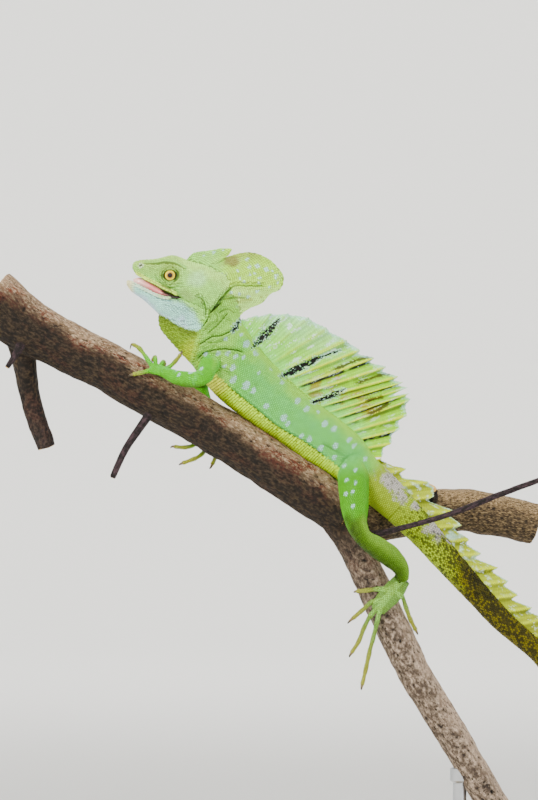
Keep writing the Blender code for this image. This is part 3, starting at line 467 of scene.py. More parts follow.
DIGITS = {
    "hand_l": (
        ((-118, -16, 93.6), (-112, -16, 96), (-107, -15.6, 101), (-104.8, -15, 104), (-104.4, -14.6, 106.6)),
        ((-121, -14.5, 95), (-121.5, -11, 99.6), (-122, -4, 102), (-123.5, 4, 100.4), (-125, 8.5, 96.4)),
        ((-123, -13.5, 95), (-128, -11, 102.5), (-133, -6.5, 108.6), (-136.4, -2, 110.6),
         (-138.6, 0.4, 107.2)),
        ((-122, -14.5, 94), (-128, -17.4, 92.6), (-133, -18, 91.4), (-136.4, -17.6, 90.6), (-139, -17, 89.6)),
        ((-119, -14.5, 94.5), (-117.4, -9, 98), (-116.4, -2, 99), (-116, 5, 97.4), (-116, 9.5, 94)),
    ),
    "hand_r": (
        ((-86, 19.8, 52), (-91.5, 17, 48.5), (-98, 10, 43.5), (-105, 5.5, 42.6), (-109.6, 4, 43.2),
         (-112, 3.4, 42)),
        ((-86, 19.8, 50), (-88, 16.8, 43.5), (-92, 9.5, 37.5), (-99, 4.5, 34), (-104, 3, 32.2),
         (-106.4, 2.6, 30.8)),
        ((-84.5, 20, 51), (-82.5, 17.4, 43), (-82.6, 11, 35.6), (-84.6, 7, 31), (-86.4, 5, 28.4)),
        ((-84, 20.4, 54), (-79.5, 19.4, 52), (-75, 18.6, 49), (-72.4, 17.6, 46.4)),
        ((-87, 20.6, 55), (-92, 19.6, 57.5), (-97, 19.2, 60.6), (-99.4, 18.6, 61)),
    ),
    "foot_l": (
        ((32, -13.8, -50), (24, -13, -50.4), (16, -11, -51.4), (11, -8.4, -52), (9, -6.8, -53)),
        ((28, -13.4, -57), (21.5, -12.8, -58.4), (14.5, -10.6, -64.4), (8, -9, -70), (5, -8, -73.4)),
        ((26, -13.2, -61), (20.5, -12.8, -67), (16, -11, -75), (12.4, -9.4, -84.5), (7.4, -8, -92.6),
         (6, -7.6, -95.6)),
        ((26.5, -13.4, -62), (24.6, -13.6, -70), (22, -12, -81), (19, -10.6, -93), (16.6, -9.8, -104),
         (14.4, -9, -113.6), (14, -8.6, -117)),
        ((34, -13.8, -50), (40.4, -11.6, -55), (43.4, -9, -63), (46.4, -5, -71), (50, -2.6, -78),
         (51.4, -2, -81)),
    ),
    "foot_r": (
        ((-8, 19.8, 4), (-12, 19.6, -2), (-16, 16.6, -4.6), (-18, 15, -5.4)),
        ((-14, 19.4, 8), (-22, 19.4, 9), (-31, 18.6, 12), (-38, 16.6, 14.6), (-40.6, 15.4, 14.6)),
        ((-15, 19.4, 10), (-25, 19.6, 14), (-36, 18.8, 19), (-45, 17.4, 23.4), (-48, 16.4, 24)),
        ((-15, 19.4, 11), (-26, 19.4, 18.4), (-38, 18.6, 26), (-50, 17.4, 34), (-60, 16, 41.6),
         (-63, 15, 43)),
        ((-8, 20.4, 6), (-11, 20, 15), (-16, 18, 24), (-21, 15.6, 31), (-23, 14.4, 33)),
    ),
}
BROW = ((-129, 3.4, 164.4), (-122, 5.2, 164.6), (-115.5, 7, 165.4), (-109, 8, 164.8), (-102, 8.6, 161))
UPPER_LIP = ((-134, 2.6, 157.6), (-128, 4.7, 154), (-121, 6.6, 150.6), (-114, 8.6, 147), (-108, 9.6, 143.8))
LOWER_LIP = ((-138, 2, 151.6), (-132, 4.1, 148.4), (-125, 5.9, 144.8), (-118, 7.4, 141.8), (-112, 8.6, 140.6))
EYE = np.array((-112.0, 5.0, 156.0))
EYE_RADIUS = 4.9
LID_LENGTH, LID_HEIGHT, LID_RADIUS = 5.4, 4.6, 1.25
# Outlines of the two head crests and the sail in x and z: the root line lies inside the body
FRONT_CREST_ROOT = ((-102, 162), (-92, 161), (-83, 160))
FRONT_CREST_EDGE = (
    (-102.5, 165), (-97, 170.5), (-91, 172), (-84, 172.8), (-77, 174), (-71.5, 173), (-73.5, 170),
    (-80, 166.5),
)
REAR_CREST_ROOT = ((-89, 159), (-81.5, 151.5), (-76, 142), (-72, 132))
REAR_CREST_EDGE = (
    (-86, 163), (-78, 166.6), (-70, 169.8), (-60.5, 171.4), (-51.2, 169), (-42, 162.4), (-37.2, 153.6),
    (-39.2, 147.6), (-46.5, 143.4), (-51.4, 138), (-58, 135), (-64, 131.6), (-68, 127),
)
SAIL_ROOT = (
    (-66, 125), (-61, 114), (-54, 103), (-41.5, 88), (-21, 70), (5, 51), (17, 36),
)
SAIL_EDGE = (
    (-64, 128.4), (-50, 131), (-38.5, 131.8), (-25.5, 130.4), (-12, 124.6), (3.5, 114.8), (14.5, 107.4),
    (33, 94.4), (46.5, 79.4), (45, 65), (36, 48.5), (29, 36),
)
SKIN_VOXEL, SKIN_TRIANGLES = 0.56, 195000
FLESH_NODES = ["head", "lower_jaw", "neck", "torso_front", "torso_rear", *[f"tail_{n}" for n in range(1, 6)]]
FLESH_NODES += ["head_crest_front", "head_crest_rear"]
FLESH_NODES += [
    f"{part}_{side}" for part in ("upper_arm", "forearm", "hand", "thigh", "shank", "foot") for side in "lr"
]


def body_grid(rows, count, sides, belly):
    """Rings through body sections of top x and z, low x and z, half width and middle y, starting on top."""
    rows = smooth([(*row, 0)[:6] for row in rows], count)
    top, low = rows[:, [0, 5, 1]], rows[:, [2, 5, 3]]
    angles = np.arange(sides) * 2 * math.pi / sides
    grid = (top + low)[:, None] / 2 + (top - low)[:, None] / 2 * np.cos(angles)[None, :, None]
    grid[:, :, 1] += rows[:, 4:5] * np.sin(angles) * (1 - belly * np.cos(angles))
    return grid


def vane_grid(roots, tips, rows, thickness, lean):
    """Rings up one face and down the other of a thin upright plate, between roots and tips in x and z.

    Thickness and lean are one number for each column and row, from root to tip.
    """
    share = np.linspace(0, 1, rows + 1)[None, :, None]
    flat = roots[:, None] * (1 - share) + tips[:, None] * share
    near = np.stack([flat[..., 0], lean - thickness / 2, flat[..., 1]], axis=-1)
    far = np.stack([flat[..., 0], lean + thickness / 2, flat[..., 1]], axis=-1)
    return np.concatenate([far, near[:, ::-1]], axis=1)


def head_crest(root, edge, columns, rows, thick_root, thick_edge, lean):
    """A fleshy crest, thick at its root and thin at its edge, a little wavy."""
    up = np.linspace(0, 1, rows + 1)[None, :]
    run = np.linspace(0, 1, columns)[:, None]
    thickness = thick_edge + (thick_root - thick_edge) * (1 - up) ** 1.5 + 0 * run
    wave = lean * up**2 + 0.6 * up**2 * np.sin(9 * run + 2 * up)
    return vane_grid(smooth(root, columns), smooth(edge, columns), rows, thickness, wave)


def ridge_grid(route, side, radius, count):
    return tube_grid([(x, side * y, z, radius) for x, y, z in route], count, 12)


def digit_grid(route, radius):
    """A finger or toe without its claw, a little thicker at each joint."""
    sizes = [radius * 1.15] + [radius] * (len(route) - 3) + [radius * 0.92]
    rows = smooth([(*point, size) for point, size in zip(route[:-1], sizes)], 14 * len(route))
    knuckles = np.cos(np.linspace(0, 2 * math.pi * (len(route) - 2), len(rows)))
    rows[:, 3] *= 1 + 0.07 * knuckles
    return tube_grid(rows, len(rows), 14)


parts = {
    "head": body_grid(HEAD, 110, 96, 0.16), "jaw": body_grid(JAW, 90, 84, -0.1),
    "spine": body_grid(SPINE, 520, 96, 0.1),
    "arm_l": limb_grid(LEFT_ARM, 90, 44, (0.3, 0, 1)), "arm_r": limb_grid(RIGHT_ARM, 90, 44, (0.3, 0, 1)),
    "leg_l": limb_grid(LEFT_LEG, 120, 56, (1, 0, 0.3)), "leg_r": limb_grid(RIGHT_LEG, 120, 56, (1, 0, 0.3)),
}
for name, rows in PALMS.items():
    parts[name] = limb_grid(rows, 30, 40, PALM_FACING[name])
    radius = FINGER_RADIUS if name.startswith("hand") else TOE_RADIUS
    for number, route in enumerate(DIGITS[name]):
        parts[f"{name}_{number}"] = digit_grid(route, radius)
parts["crest_rear"] = head_crest(REAR_CREST_ROOT, REAR_CREST_EDGE, 110, 60, 8.6, 1.25, 0)
parts["crest_front"] = head_crest(FRONT_CREST_ROOT, FRONT_CREST_EDGE, 70, 24, 5.2, 1.15, -1.8)
sail_roots = smooth(SAIL_ROOT, 90)
sail_out = np.gradient(sail_roots, axis=0) @ np.array(((0, 1), (-1, 0)))
sail_out /= np.linalg.norm(sail_out, axis=1)[:, None]
flare = 2.2 + 6.5 * (1 - np.linspace(0, 1, 9)[None, :]) ** 1.7 * np.ones((90, 1))
rise = 5.5 * np.sin(np.linspace(0, math.pi, 90))[:, None] ** 0.5
parts["spine_rise"] = vane_grid(sail_roots - sail_out, sail_roots + sail_out * rise, 8, flare, 0 * flare)
forms = []
for side in (-1, 1):
    angles = np.linspace(0, 2 * math.pi, 25)
    lids = np.column_stack([
        EYE[0] + LID_LENGTH * np.cos(angles), 9.1 - 0.7 * np.cos(angles),
        EYE[2] + LID_HEIGHT * np.sin(angles)])
    forms.append(ridge_grid(lids, side, LID_RADIUS, 60))
    forms.append(ridge_grid(BROW, side, 1.35, 40))
    forms.append(ridge_grid(UPPER_LIP, side, 1.15, 40))
    forms.append(ridge_grid(LOWER_LIP, side, 1.1, 40))

# Folds of loose skin, seen from the side: a line in x and z, its depth and its half width
FOLDS = (
    (((-77.5, 138.9), (-85.5, 131.3), (-88, 125.4), (-91.7, 120.8)), 1.0, 1.0),
    (((-73.4, 131.9), (-81, 122.8), (-88, 116.8)), 0.8, 0.9),
    (((-68, 122.6), (-72.9, 118.8), (-78.5, 116.2), (-84, 115.7), (-89.1, 112.7), (-94.1, 109.6)), 1.0, 0.9),
    (((-62, 105), (-67.8, 106.6), (-77, 107.6), (-84, 106.6), (-90.1, 104.5), (-95.1, 99.5)), 1.2, 1.0),
    (((-86.5, 130), (-79.2, 139.9), (-74.6, 145.2), (-70.4, 148.8), (-60, 149.2), (-47, 149)), 1.1, 1.0),
    (((-78.5, 140), (-70, 141.4), (-59, 140.6)), 0.8, 1.1),
    (((-80.6, 131), (-74, 134), (-69, 131)), 0.7, 0.9),
    (((-84, 158), (-76, 160), (-66, 163.5)), 0.35, 1.6), (((-76, 152.5), (-64, 155), (-50, 156)), 0.25, 1.8),
    (((-77, 86.4), (-73.9, 83.2), (-55.8, 68.3), (-40.9, 56.1), (-25.7, 47.4), (-15.8, 40.9), (-7, 34)),
     1.0, 0.7),
    (((-86, 93.6), (-80.7, 94.3), (-75.7, 93.2), (-71.5, 90.6)), 0.7, 0.7),
    (((-122, 157.8), (-120.9, 154.3), (-117.3, 150.2), (-112.1, 147.8), (-106.2, 149), (-102.5, 151.5)),
     0.45, 0.7),
    (((-126.3, 160.9), (-122, 159.6), (-118.9, 159.3)), 0.3, 0.8),
    (((-96.4, 142.6), (-91.1, 140.6), (-88.4, 134), (-88.8, 128)), 0.9, 0.9),
    (((-117, 137.5), (-108, 133.6), (-99, 131.6)), 0.5, 0.8),
    (((-110.5, 142.6), (-104, 137.4), (-97.5, 133), (-92, 131)), 0.7, 0.6),
    (((-13, 46), (-4, 41), (3, 37), (7, 33)), 0.5, 1.2),
    (((-60, 76), (-56, 82), (-54, 88)), 0.3, 1.6), (((-90, 119), (-84, 124), (-79, 127)), 0.6, 0.6),
    (((-90.5, 112), (-84, 111.4), (-78, 112.6), (-73, 115)), 0.6, 0.6),
    (((-80, 130.5), (-75, 127), (-71, 126)), 0.5, 0.6),
    (((-91, 107.4), (-86, 108.4), (-80, 109.4)), 0.5, 0.6),
    (((-83, 134), (-80.5, 128), (-82, 124)), 0.5, 0.6),
)
# Swellings, each a middle in x and z on both sides, its radius and its height
SWELLINGS = (
    ((-101, 147), 8, 0.9), ((-116.5, 147.5), 5, 0.5), ((-109, 130), 7, 0.6), ((-97, 126.5), 6, 0.8),
    ((-76, 98), 8, 0.9), ((-84, 122), 5, 0.5), ((-47, 62), 14, 0.5), ((2, 33), 9, 0.8),
    ((-131, 162.4), 2, 0.45),
)
OPENING_LENGTH, OPENING_HEIGHT, OPENING_TILT = 4.2, 3.4, 0.12  # half sizes of the gap between the lids
EAR = np.array((-94.0, 11.0, 138.5))
EAR_RADIUS, EAR_DEPTH = 2.6, 0.6
NOSTRIL = np.array((-131.4, 4.4, 162.7))


def ramp(values, low, high):
    """A smooth step from 0 at low to 1 at high."""
    share = np.clip((values - low) / (high - low), 0, 1)
    return share * share * (3 - 2 * share)


def from_line(points, line):
    """How far points are from a line in x and z, on which side of it, and how far along it they are."""
    line = np.array(line, float)
    flat = points[:, [0, 2]]
    steps = np.linalg.norm(np.diff(line, axis=0), axis=1)
    knots = np.concatenate([[0], np.cumsum(steps)]) / steps.sum()
    far, side, share = np.full(len(flat), np.inf), np.zeros(len(flat)), np.zeros(len(flat))
    for number, (start, end) in enumerate(zip(line, line[1:])):
        run = end - start
        t = np.clip((flat - start) @ run / (run @ run), 0, 1)
        off = flat - start - t[:, None] * run
        gap = np.linalg.norm(off, axis=1)
        near = gap < far
        far[near] = gap[near]
        side[near] = np.sign(run[0] * off[:, 1] - run[1] * off[:, 0])[near]
        share[near] = (knots[number] + t * (knots[number + 1] - knots[number]))[near]
    return far, side, share


def among(part, *starts):
    """Which points belong to body parts whose names start in one of these ways."""
    return np.array([name.startswith(starts) for name in parts])[part]


def tendon_far(points, name):
    """How far points are, in x and z, from the tendons that fan out over a sole to its toes."""
    ankle = PALMS[name][0]
    return np.min([
        from_line(points, ((ankle[0], ankle[2]), route[0][::2], route[1][::2]))[0]
        for route in DIGITS[name]], axis=0)


class Lofts:
    """Finds where on which body part a point of the skin lies."""

    def __init__(self, grids):
        self.tree = KDTree(sum(grid.shape[0] * grid.shape[1] for grid in grids.values()))
        self.places = []
        for number, grid in enumerate(grids.values()):
            rings, sides = grid.shape[:2]
            for index, point in enumerate(grid.reshape(-1, 3).tolist()):
                self.tree.insert(point, len(self.places))
                self.places.append((number, index // sides / (rings - 1), index % sides / sides))
        self.tree.balance()

    def find(self, points):
        found = np.array([self.places[self.tree.find(point)[1]] for point in points.tolist()])
        return found[:, 0].astype(int), found[:, 1], found[:, 2]


def eye_place(points):
    """Where points are across the gap of the lids: 1 at its edge, and the direction from its middle."""
    flat = points[:, [0, 2]] - EYE[[0, 2]]
    turn = np.array([
        [math.cos(OPENING_TILT), -math.sin(OPENING_TILT)], [math.sin(OPENING_TILT), math.cos(OPENING_TILT)]])
    flat = flat @ turn
    return np.hypot(flat[:, 0] / OPENING_LENGTH, flat[:, 1] / OPENING_HEIGHT)


scaly, skin_tree, skin_shader = finish("scaly_skin", Roughness=0.48)
skin = fused("basilisk_skin", [*parts.values(), *forms], SKIN_VOXEL, scaly, 4)
points, normals = read_points(skin)
lofts = Lofts(parts)
part, along, around = lofts.find(points)
body = among(part, "head", "jaw", "spine", "crest")
facing = np.abs(normals[:, 1])
lift = 0.16 * rough(points, 5.5, 5, 3) + 0.3 * rough(points, 15, 8, 2) * (part == 2)
for line, depth, width in FOLDS:
    far, side, share = from_line(points, smooth(line, 24))
    ends = ramp(share, 0.0, 0.12) * ramp(share, 1.0, 0.88) * ramp(facing, 0.1, 0.4) * body
    lip = np.exp(-(((far - 2.1 * width) / (1.3 * width)) ** 2)) * np.where(side > 0, 0.7, 0.35)
    lift += depth * ends * (lip - np.exp(-((far / width) ** 2)))
for (x, z), radius, height in SWELLINGS:
    off = (points[:, 0] - x) ** 2 + (points[:, 2] - z) ** 2
    lift += height * np.exp(-off / radius**2) * body * facing
throat_folds = np.sin(points[:, 2] * 2.2 + 1.3 * rough(points, 6, 3, 1)) * ramp(points[:, 0], -86, -98)
lift += 0.22 * throat_folds * (part == 2) * ramp(points[:, 2], 134, 128) * ramp(points[:, 2], 100, 106)
calf = np.linalg.norm(points - np.array((31, -29, -26)), axis=1)
thigh = np.linalg.norm(points - np.array((9, -26, 4)), axis=1)
lift += 0.7 * np.exp(-((calf / 8) ** 2)) + 0.5 * np.exp(-((thigh / 10) ** 2))
for name in ("foot_l", "foot_r"):
    lift += 0.5 * np.exp(-((tendon_far(points, name) / 0.9) ** 2)) * among(part, name)
cup = np.hypot(points[:, 0] - EAR[0], (points[:, 2] - EAR[2]) / 1.12)
drum = (np.abs(points[:, 1]) > 5) * (part < 3) * (np.abs(points[:, 0] - EAR[0]) < 8)
hind = ramp(points[:, 0] - EAR[0], -3, 3)  # the cup is deep behind the drum and runs out flush in front of it
lift += drum * (0.5 * np.exp(-(((cup - EAR_RADIUS - 0.9) / 1.2) ** 2)) * (0.3 + 0.7 * hind))
lift -= drum * EAR_DEPTH * ramp(cup, EAR_RADIUS + 0.5, EAR_RADIUS - 1.4) * (0.35 + 0.65 * hind)
points = points + normals * lift[:, None]
for side in (-1, 1):
    hole = np.linalg.norm(points - NOSTRIL * (1, side, 1), axis=1)
    points[:, 1] -= side * 1.1 * np.exp(-((hole / 0.75) ** 2))
    across = eye_place(points)
    by_eye = (np.abs(points[:, 0] - EYE[0]) < 7) & (np.abs(points[:, 2] - EYE[2]) < 7)
    lid = (points[:, 1] * side > 5) & by_eye
    reach = np.hypot(points[:, 0] - EYE[0], points[:, 2] - EYE[2])
    ball = EYE[1] + np.sqrt(np.maximum(EYE_RADIUS**2 - (reach / 1.08) ** 2, 0.5))
    inner = lid & (across < 1)
    points[inner, 1] = side * (ball[inner] - 0.9)
    rim = lid & (across >= 1) & (across < 1.9)
    closing = ramp(across, 1.9, 1.05)
    points[rim, 1] = side * (
        np.abs(points[rim, 1]) * (1 - closing[rim])
        + closing[rim] * np.minimum(np.abs(points[rim, 1]), ball[rim] + 0.75))
write_points(skin, points)
thin = skin.modifiers.new("Thin", "DECIMATE")
thin.ratio = min(1, SKIN_TRIANGLES / (2 * len(skin.data.polygons)))
bpy.context.view_layer.update()
skin.data = bpy.data.meshes.new_from_object(skin.evaluated_get(bpy.context.evaluated_depsgraph_get()))
skin.modifiers.clear()
skin.data.shade_smooth()
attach(skin, "root")
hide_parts(*FLESH_NODES)

# Its colours: greens with a yellow belly, an olive throat, pale chin, pale round spots and black marks. The
# same function colours skin and scales, from places on the body, so that both carry the same markings.
BELLY_LINE = (
    (-97, 101), (-86, 93.6), (-81, 89.8), (-73.9, 83.2), (-55.8, 68.3), (-40.9, 56.1), (-25.7, 47.4),
    (-15.8, 40.9), (-2.2, 30.5), (12, 16),
)
THROAT_LINE = ((-78, 143), (-84, 133), (-89, 124), (-93, 115), (-97, 104), (-99, 98))
POUCH_LINE = (
    (-124, 133), (-117, 129.4), (-110, 125), (-102, 121), (-95, 119.4), (-89, 121.5), (-85.5, 127),
    (-84, 134),
)
CHIN_LINE = ((-134, 148), (-120, 143.5), (-111, 140), (-104, 138), (-97, 132), (-92, 124), (-90, 116))
SPOTS = (
    (-61.5, 111, 2.3), (-54.6, 106, 2.7), (-68.7, 102.5, 1.6), (-63.8, 102, 1.3), (-74, 104.5, 1.5),
    (-80.3, 104.4, 1.5), (-88.5, 104, 1.4), (-76, 96.2, 1.3), (-70.6, 95.2, 1.9), (-70.2, 87.4, 2.2),
    (-61.9, 83.6, 2.6), (-57, 80.2, 1.8), (-45, 95.2, 1.7), (-53.7, 91.8, 1.1), (-37.7, 86, 1.8),
    (-29.5, 81.2, 1.2), (-28, 73.4, 2), (-22.2, 68.1, 1.9), (-14.5, 66.1, 1.1), (-48.8, 70, 1.8),
    (-37.2, 62.3, 2.2), (-34.8, 58.4, 1.7), (-10.1, 58.4, 2.1), (-4.3, 55, 2), (-25.6, 50.2, 1.6),
    (-20.3, 48.2, 1.8), (-13, 42.4, 2.1), (-3.3, 43.9, 1.9), (5.9, 47.8, 1.7), (9.2, 43.9, 1.5),
    (-3.8, 36.2, 1.6), (16.5, 35.2, 1.5), (2.5, 30.8, 1.4), (-75.4, 114.1, 1.3), (-65, 117, 1.2),
    (4, 21.5, 1.2), (9.9, 19.8, 1.2), (3.3, 12.5, 1.2), (7.9, 13.9, 1.1), (7.8, 4.6, 1.3), (10, 28, 1.3),
    (-106.9, 94, 1.2), (-97.7, 92.4, 1.5), (-105.6, 90.4, 1.2), (-91, 94.4, 1.1), (-72, 150, 1),
)
INK = (
    (((-70.6, 119), (-68.4, 122.4), (-65.8, 127)), 0.8), (((-57, 109.5), (-50, 116), (-40.6, 126.8)), 1.7),
    (((-38.5, 89.4), (-28, 94.6), (-12, 102.5)), 1.5), (((-13, 102), (0.5, 106.9)), 0.45),
    (((-18, 72.5), (-8, 76), (3.3, 81.2)), 1.05),
)
BROWN_STREAKS = (
    ((15.8, 73.3), (27.7, 75.9)), ((17.2, 64), (25, 67), (31.7, 71.3)), ((-6, 93), (10, 100), (24, 104)),
    ((8, 84), (26, 90), (42, 95)),
)
CREST_SPOTS = (
    (-78.6, 157.2, 1.1), (-75.7, 156, 0.9), (-76.8, 151.9, 1), (-67.5, 159, 1.2), (-65.7, 154.3, 1.1),
    (-63.4, 151.9, 1.2), (-61.6, 166.6, 1.3), (-59.3, 161.9, 1.5), (-59.8, 156.6, 1.1),
    (-56.3, 157.2, 1.2), (-54.6, 162.5, 1.6),
    (-52.8, 154.3, 1.3), (-53.4, 150.8, 1), (-48.7, 160.2, 1.6), (-45.2, 159.6, 1.1), (-42.2, 155.5, 1.5),
    (-41.1, 151.4, 1.1), (-46.3, 148.4, 1.2), (-72.1, 144.7, 1.1), (-66.3, 143.7, 1), (-60.4, 142, 1.2),
    (-54.6, 145.5, 1.3), (-83.3, 171.3, 1.2), (-89.8, 169, 1), (-76.9, 172.5, 0.9), (-68, 135.6, 1.1),
)
SHED_PATCHES = (((36, 18.5), 14, 7.5), ((64, -12), 10, 8), ((50, 4), 4, 3.5))
DARK_PATCHES = (((93, -48), 24, 6), ((58, -2), 5, 3))
TAIL_LEAN = (0.62, -0.78)  # which way the tail's worn patches run, in x and z
# Painted shade: the skin is darkened where it shows in the gaps between the scales
SHADE_BETWEEN_SCALES = 0.42  # how dark the skin is where it shows between the scales
MOTTLE, GRIT = 2.38, 0.385


def hues(*codes):
    return [np.array(linear(code)[:3]) for code in codes]


def laid(tint, colour, mask):
    """Lays a colour over others where the mask says, from 0 to 1."""
    mask = np.clip(mask, 0, 1)[:, None]
    return tint * (1 - mask) + colour * mask


def spotted(points, spots, draws, lean=(0.62, 0.78), length=1.5):
    """1 inside the pale spots: ovals in x and z, longer along lean, with ragged edges from the draws."""
    along = (points[:, 0][:, None] - np.array([spot[0] for spot in spots])) * lean[0]
    along += (points[:, 2][:, None] - np.array([spot[1] for spot in spots])) * lean[1]
    across = (points[:, 0][:, None] - np.array([spot[0] for spot in spots])) * -lean[1]
    across += (points[:, 2][:, None] - np.array([spot[1] for spot in spots])) * lean[0]
    reach = np.hypot(along / length, across) / np.array([spot[2] for spot in spots])
    return ramp(reach.min(axis=1) + 0.05 * draws, 0.92, 0.74)


def patched(points, patches, soft, fine):
    """1 inside the ragged patches, each a middle in x and z, a half length along the tail and half width."""
    mask = np.zeros(len(points))
    for middle, length, width in patches:
        run = (points[:, 0] - middle[0]) * TAIL_LEAN[0] + (points[:, 2] - middle[1]) * TAIL_LEAN[1]
        aside = (points[:, 0] - middle[0]) * -TAIL_LEAN[1] + (points[:, 2] - middle[1]) * TAIL_LEAN[0]
        mask = np.maximum(
            mask, ramp(np.hypot(run / length, aside / width) + 0.5 * soft + 0.35 * fine, 1.05, 0.55))
    return mask


def inked(points, draws):
    """The black marks, and the pale border round each, as two masks."""
    black, border = np.zeros(len(points)), np.zeros(len(points))
    for line, width in INK:
        far, _, share = from_line(points, line)
        width = width * (0.3 + 1.2 * np.sin(np.pi * np.clip(share, 0.08, 0.96)) ** 0.7)
        ragged = ramp(far / width + 0.6 * draws, 1.05, 0.9) * ramp(draws, 0.62, 0.5)
        black = np.maximum(black, ragged)
        border = np.maximum(border, ramp(far / (width + 0.8) + 0.8 * draws, 1.0, 0.8) * 0.8)
    return black, border


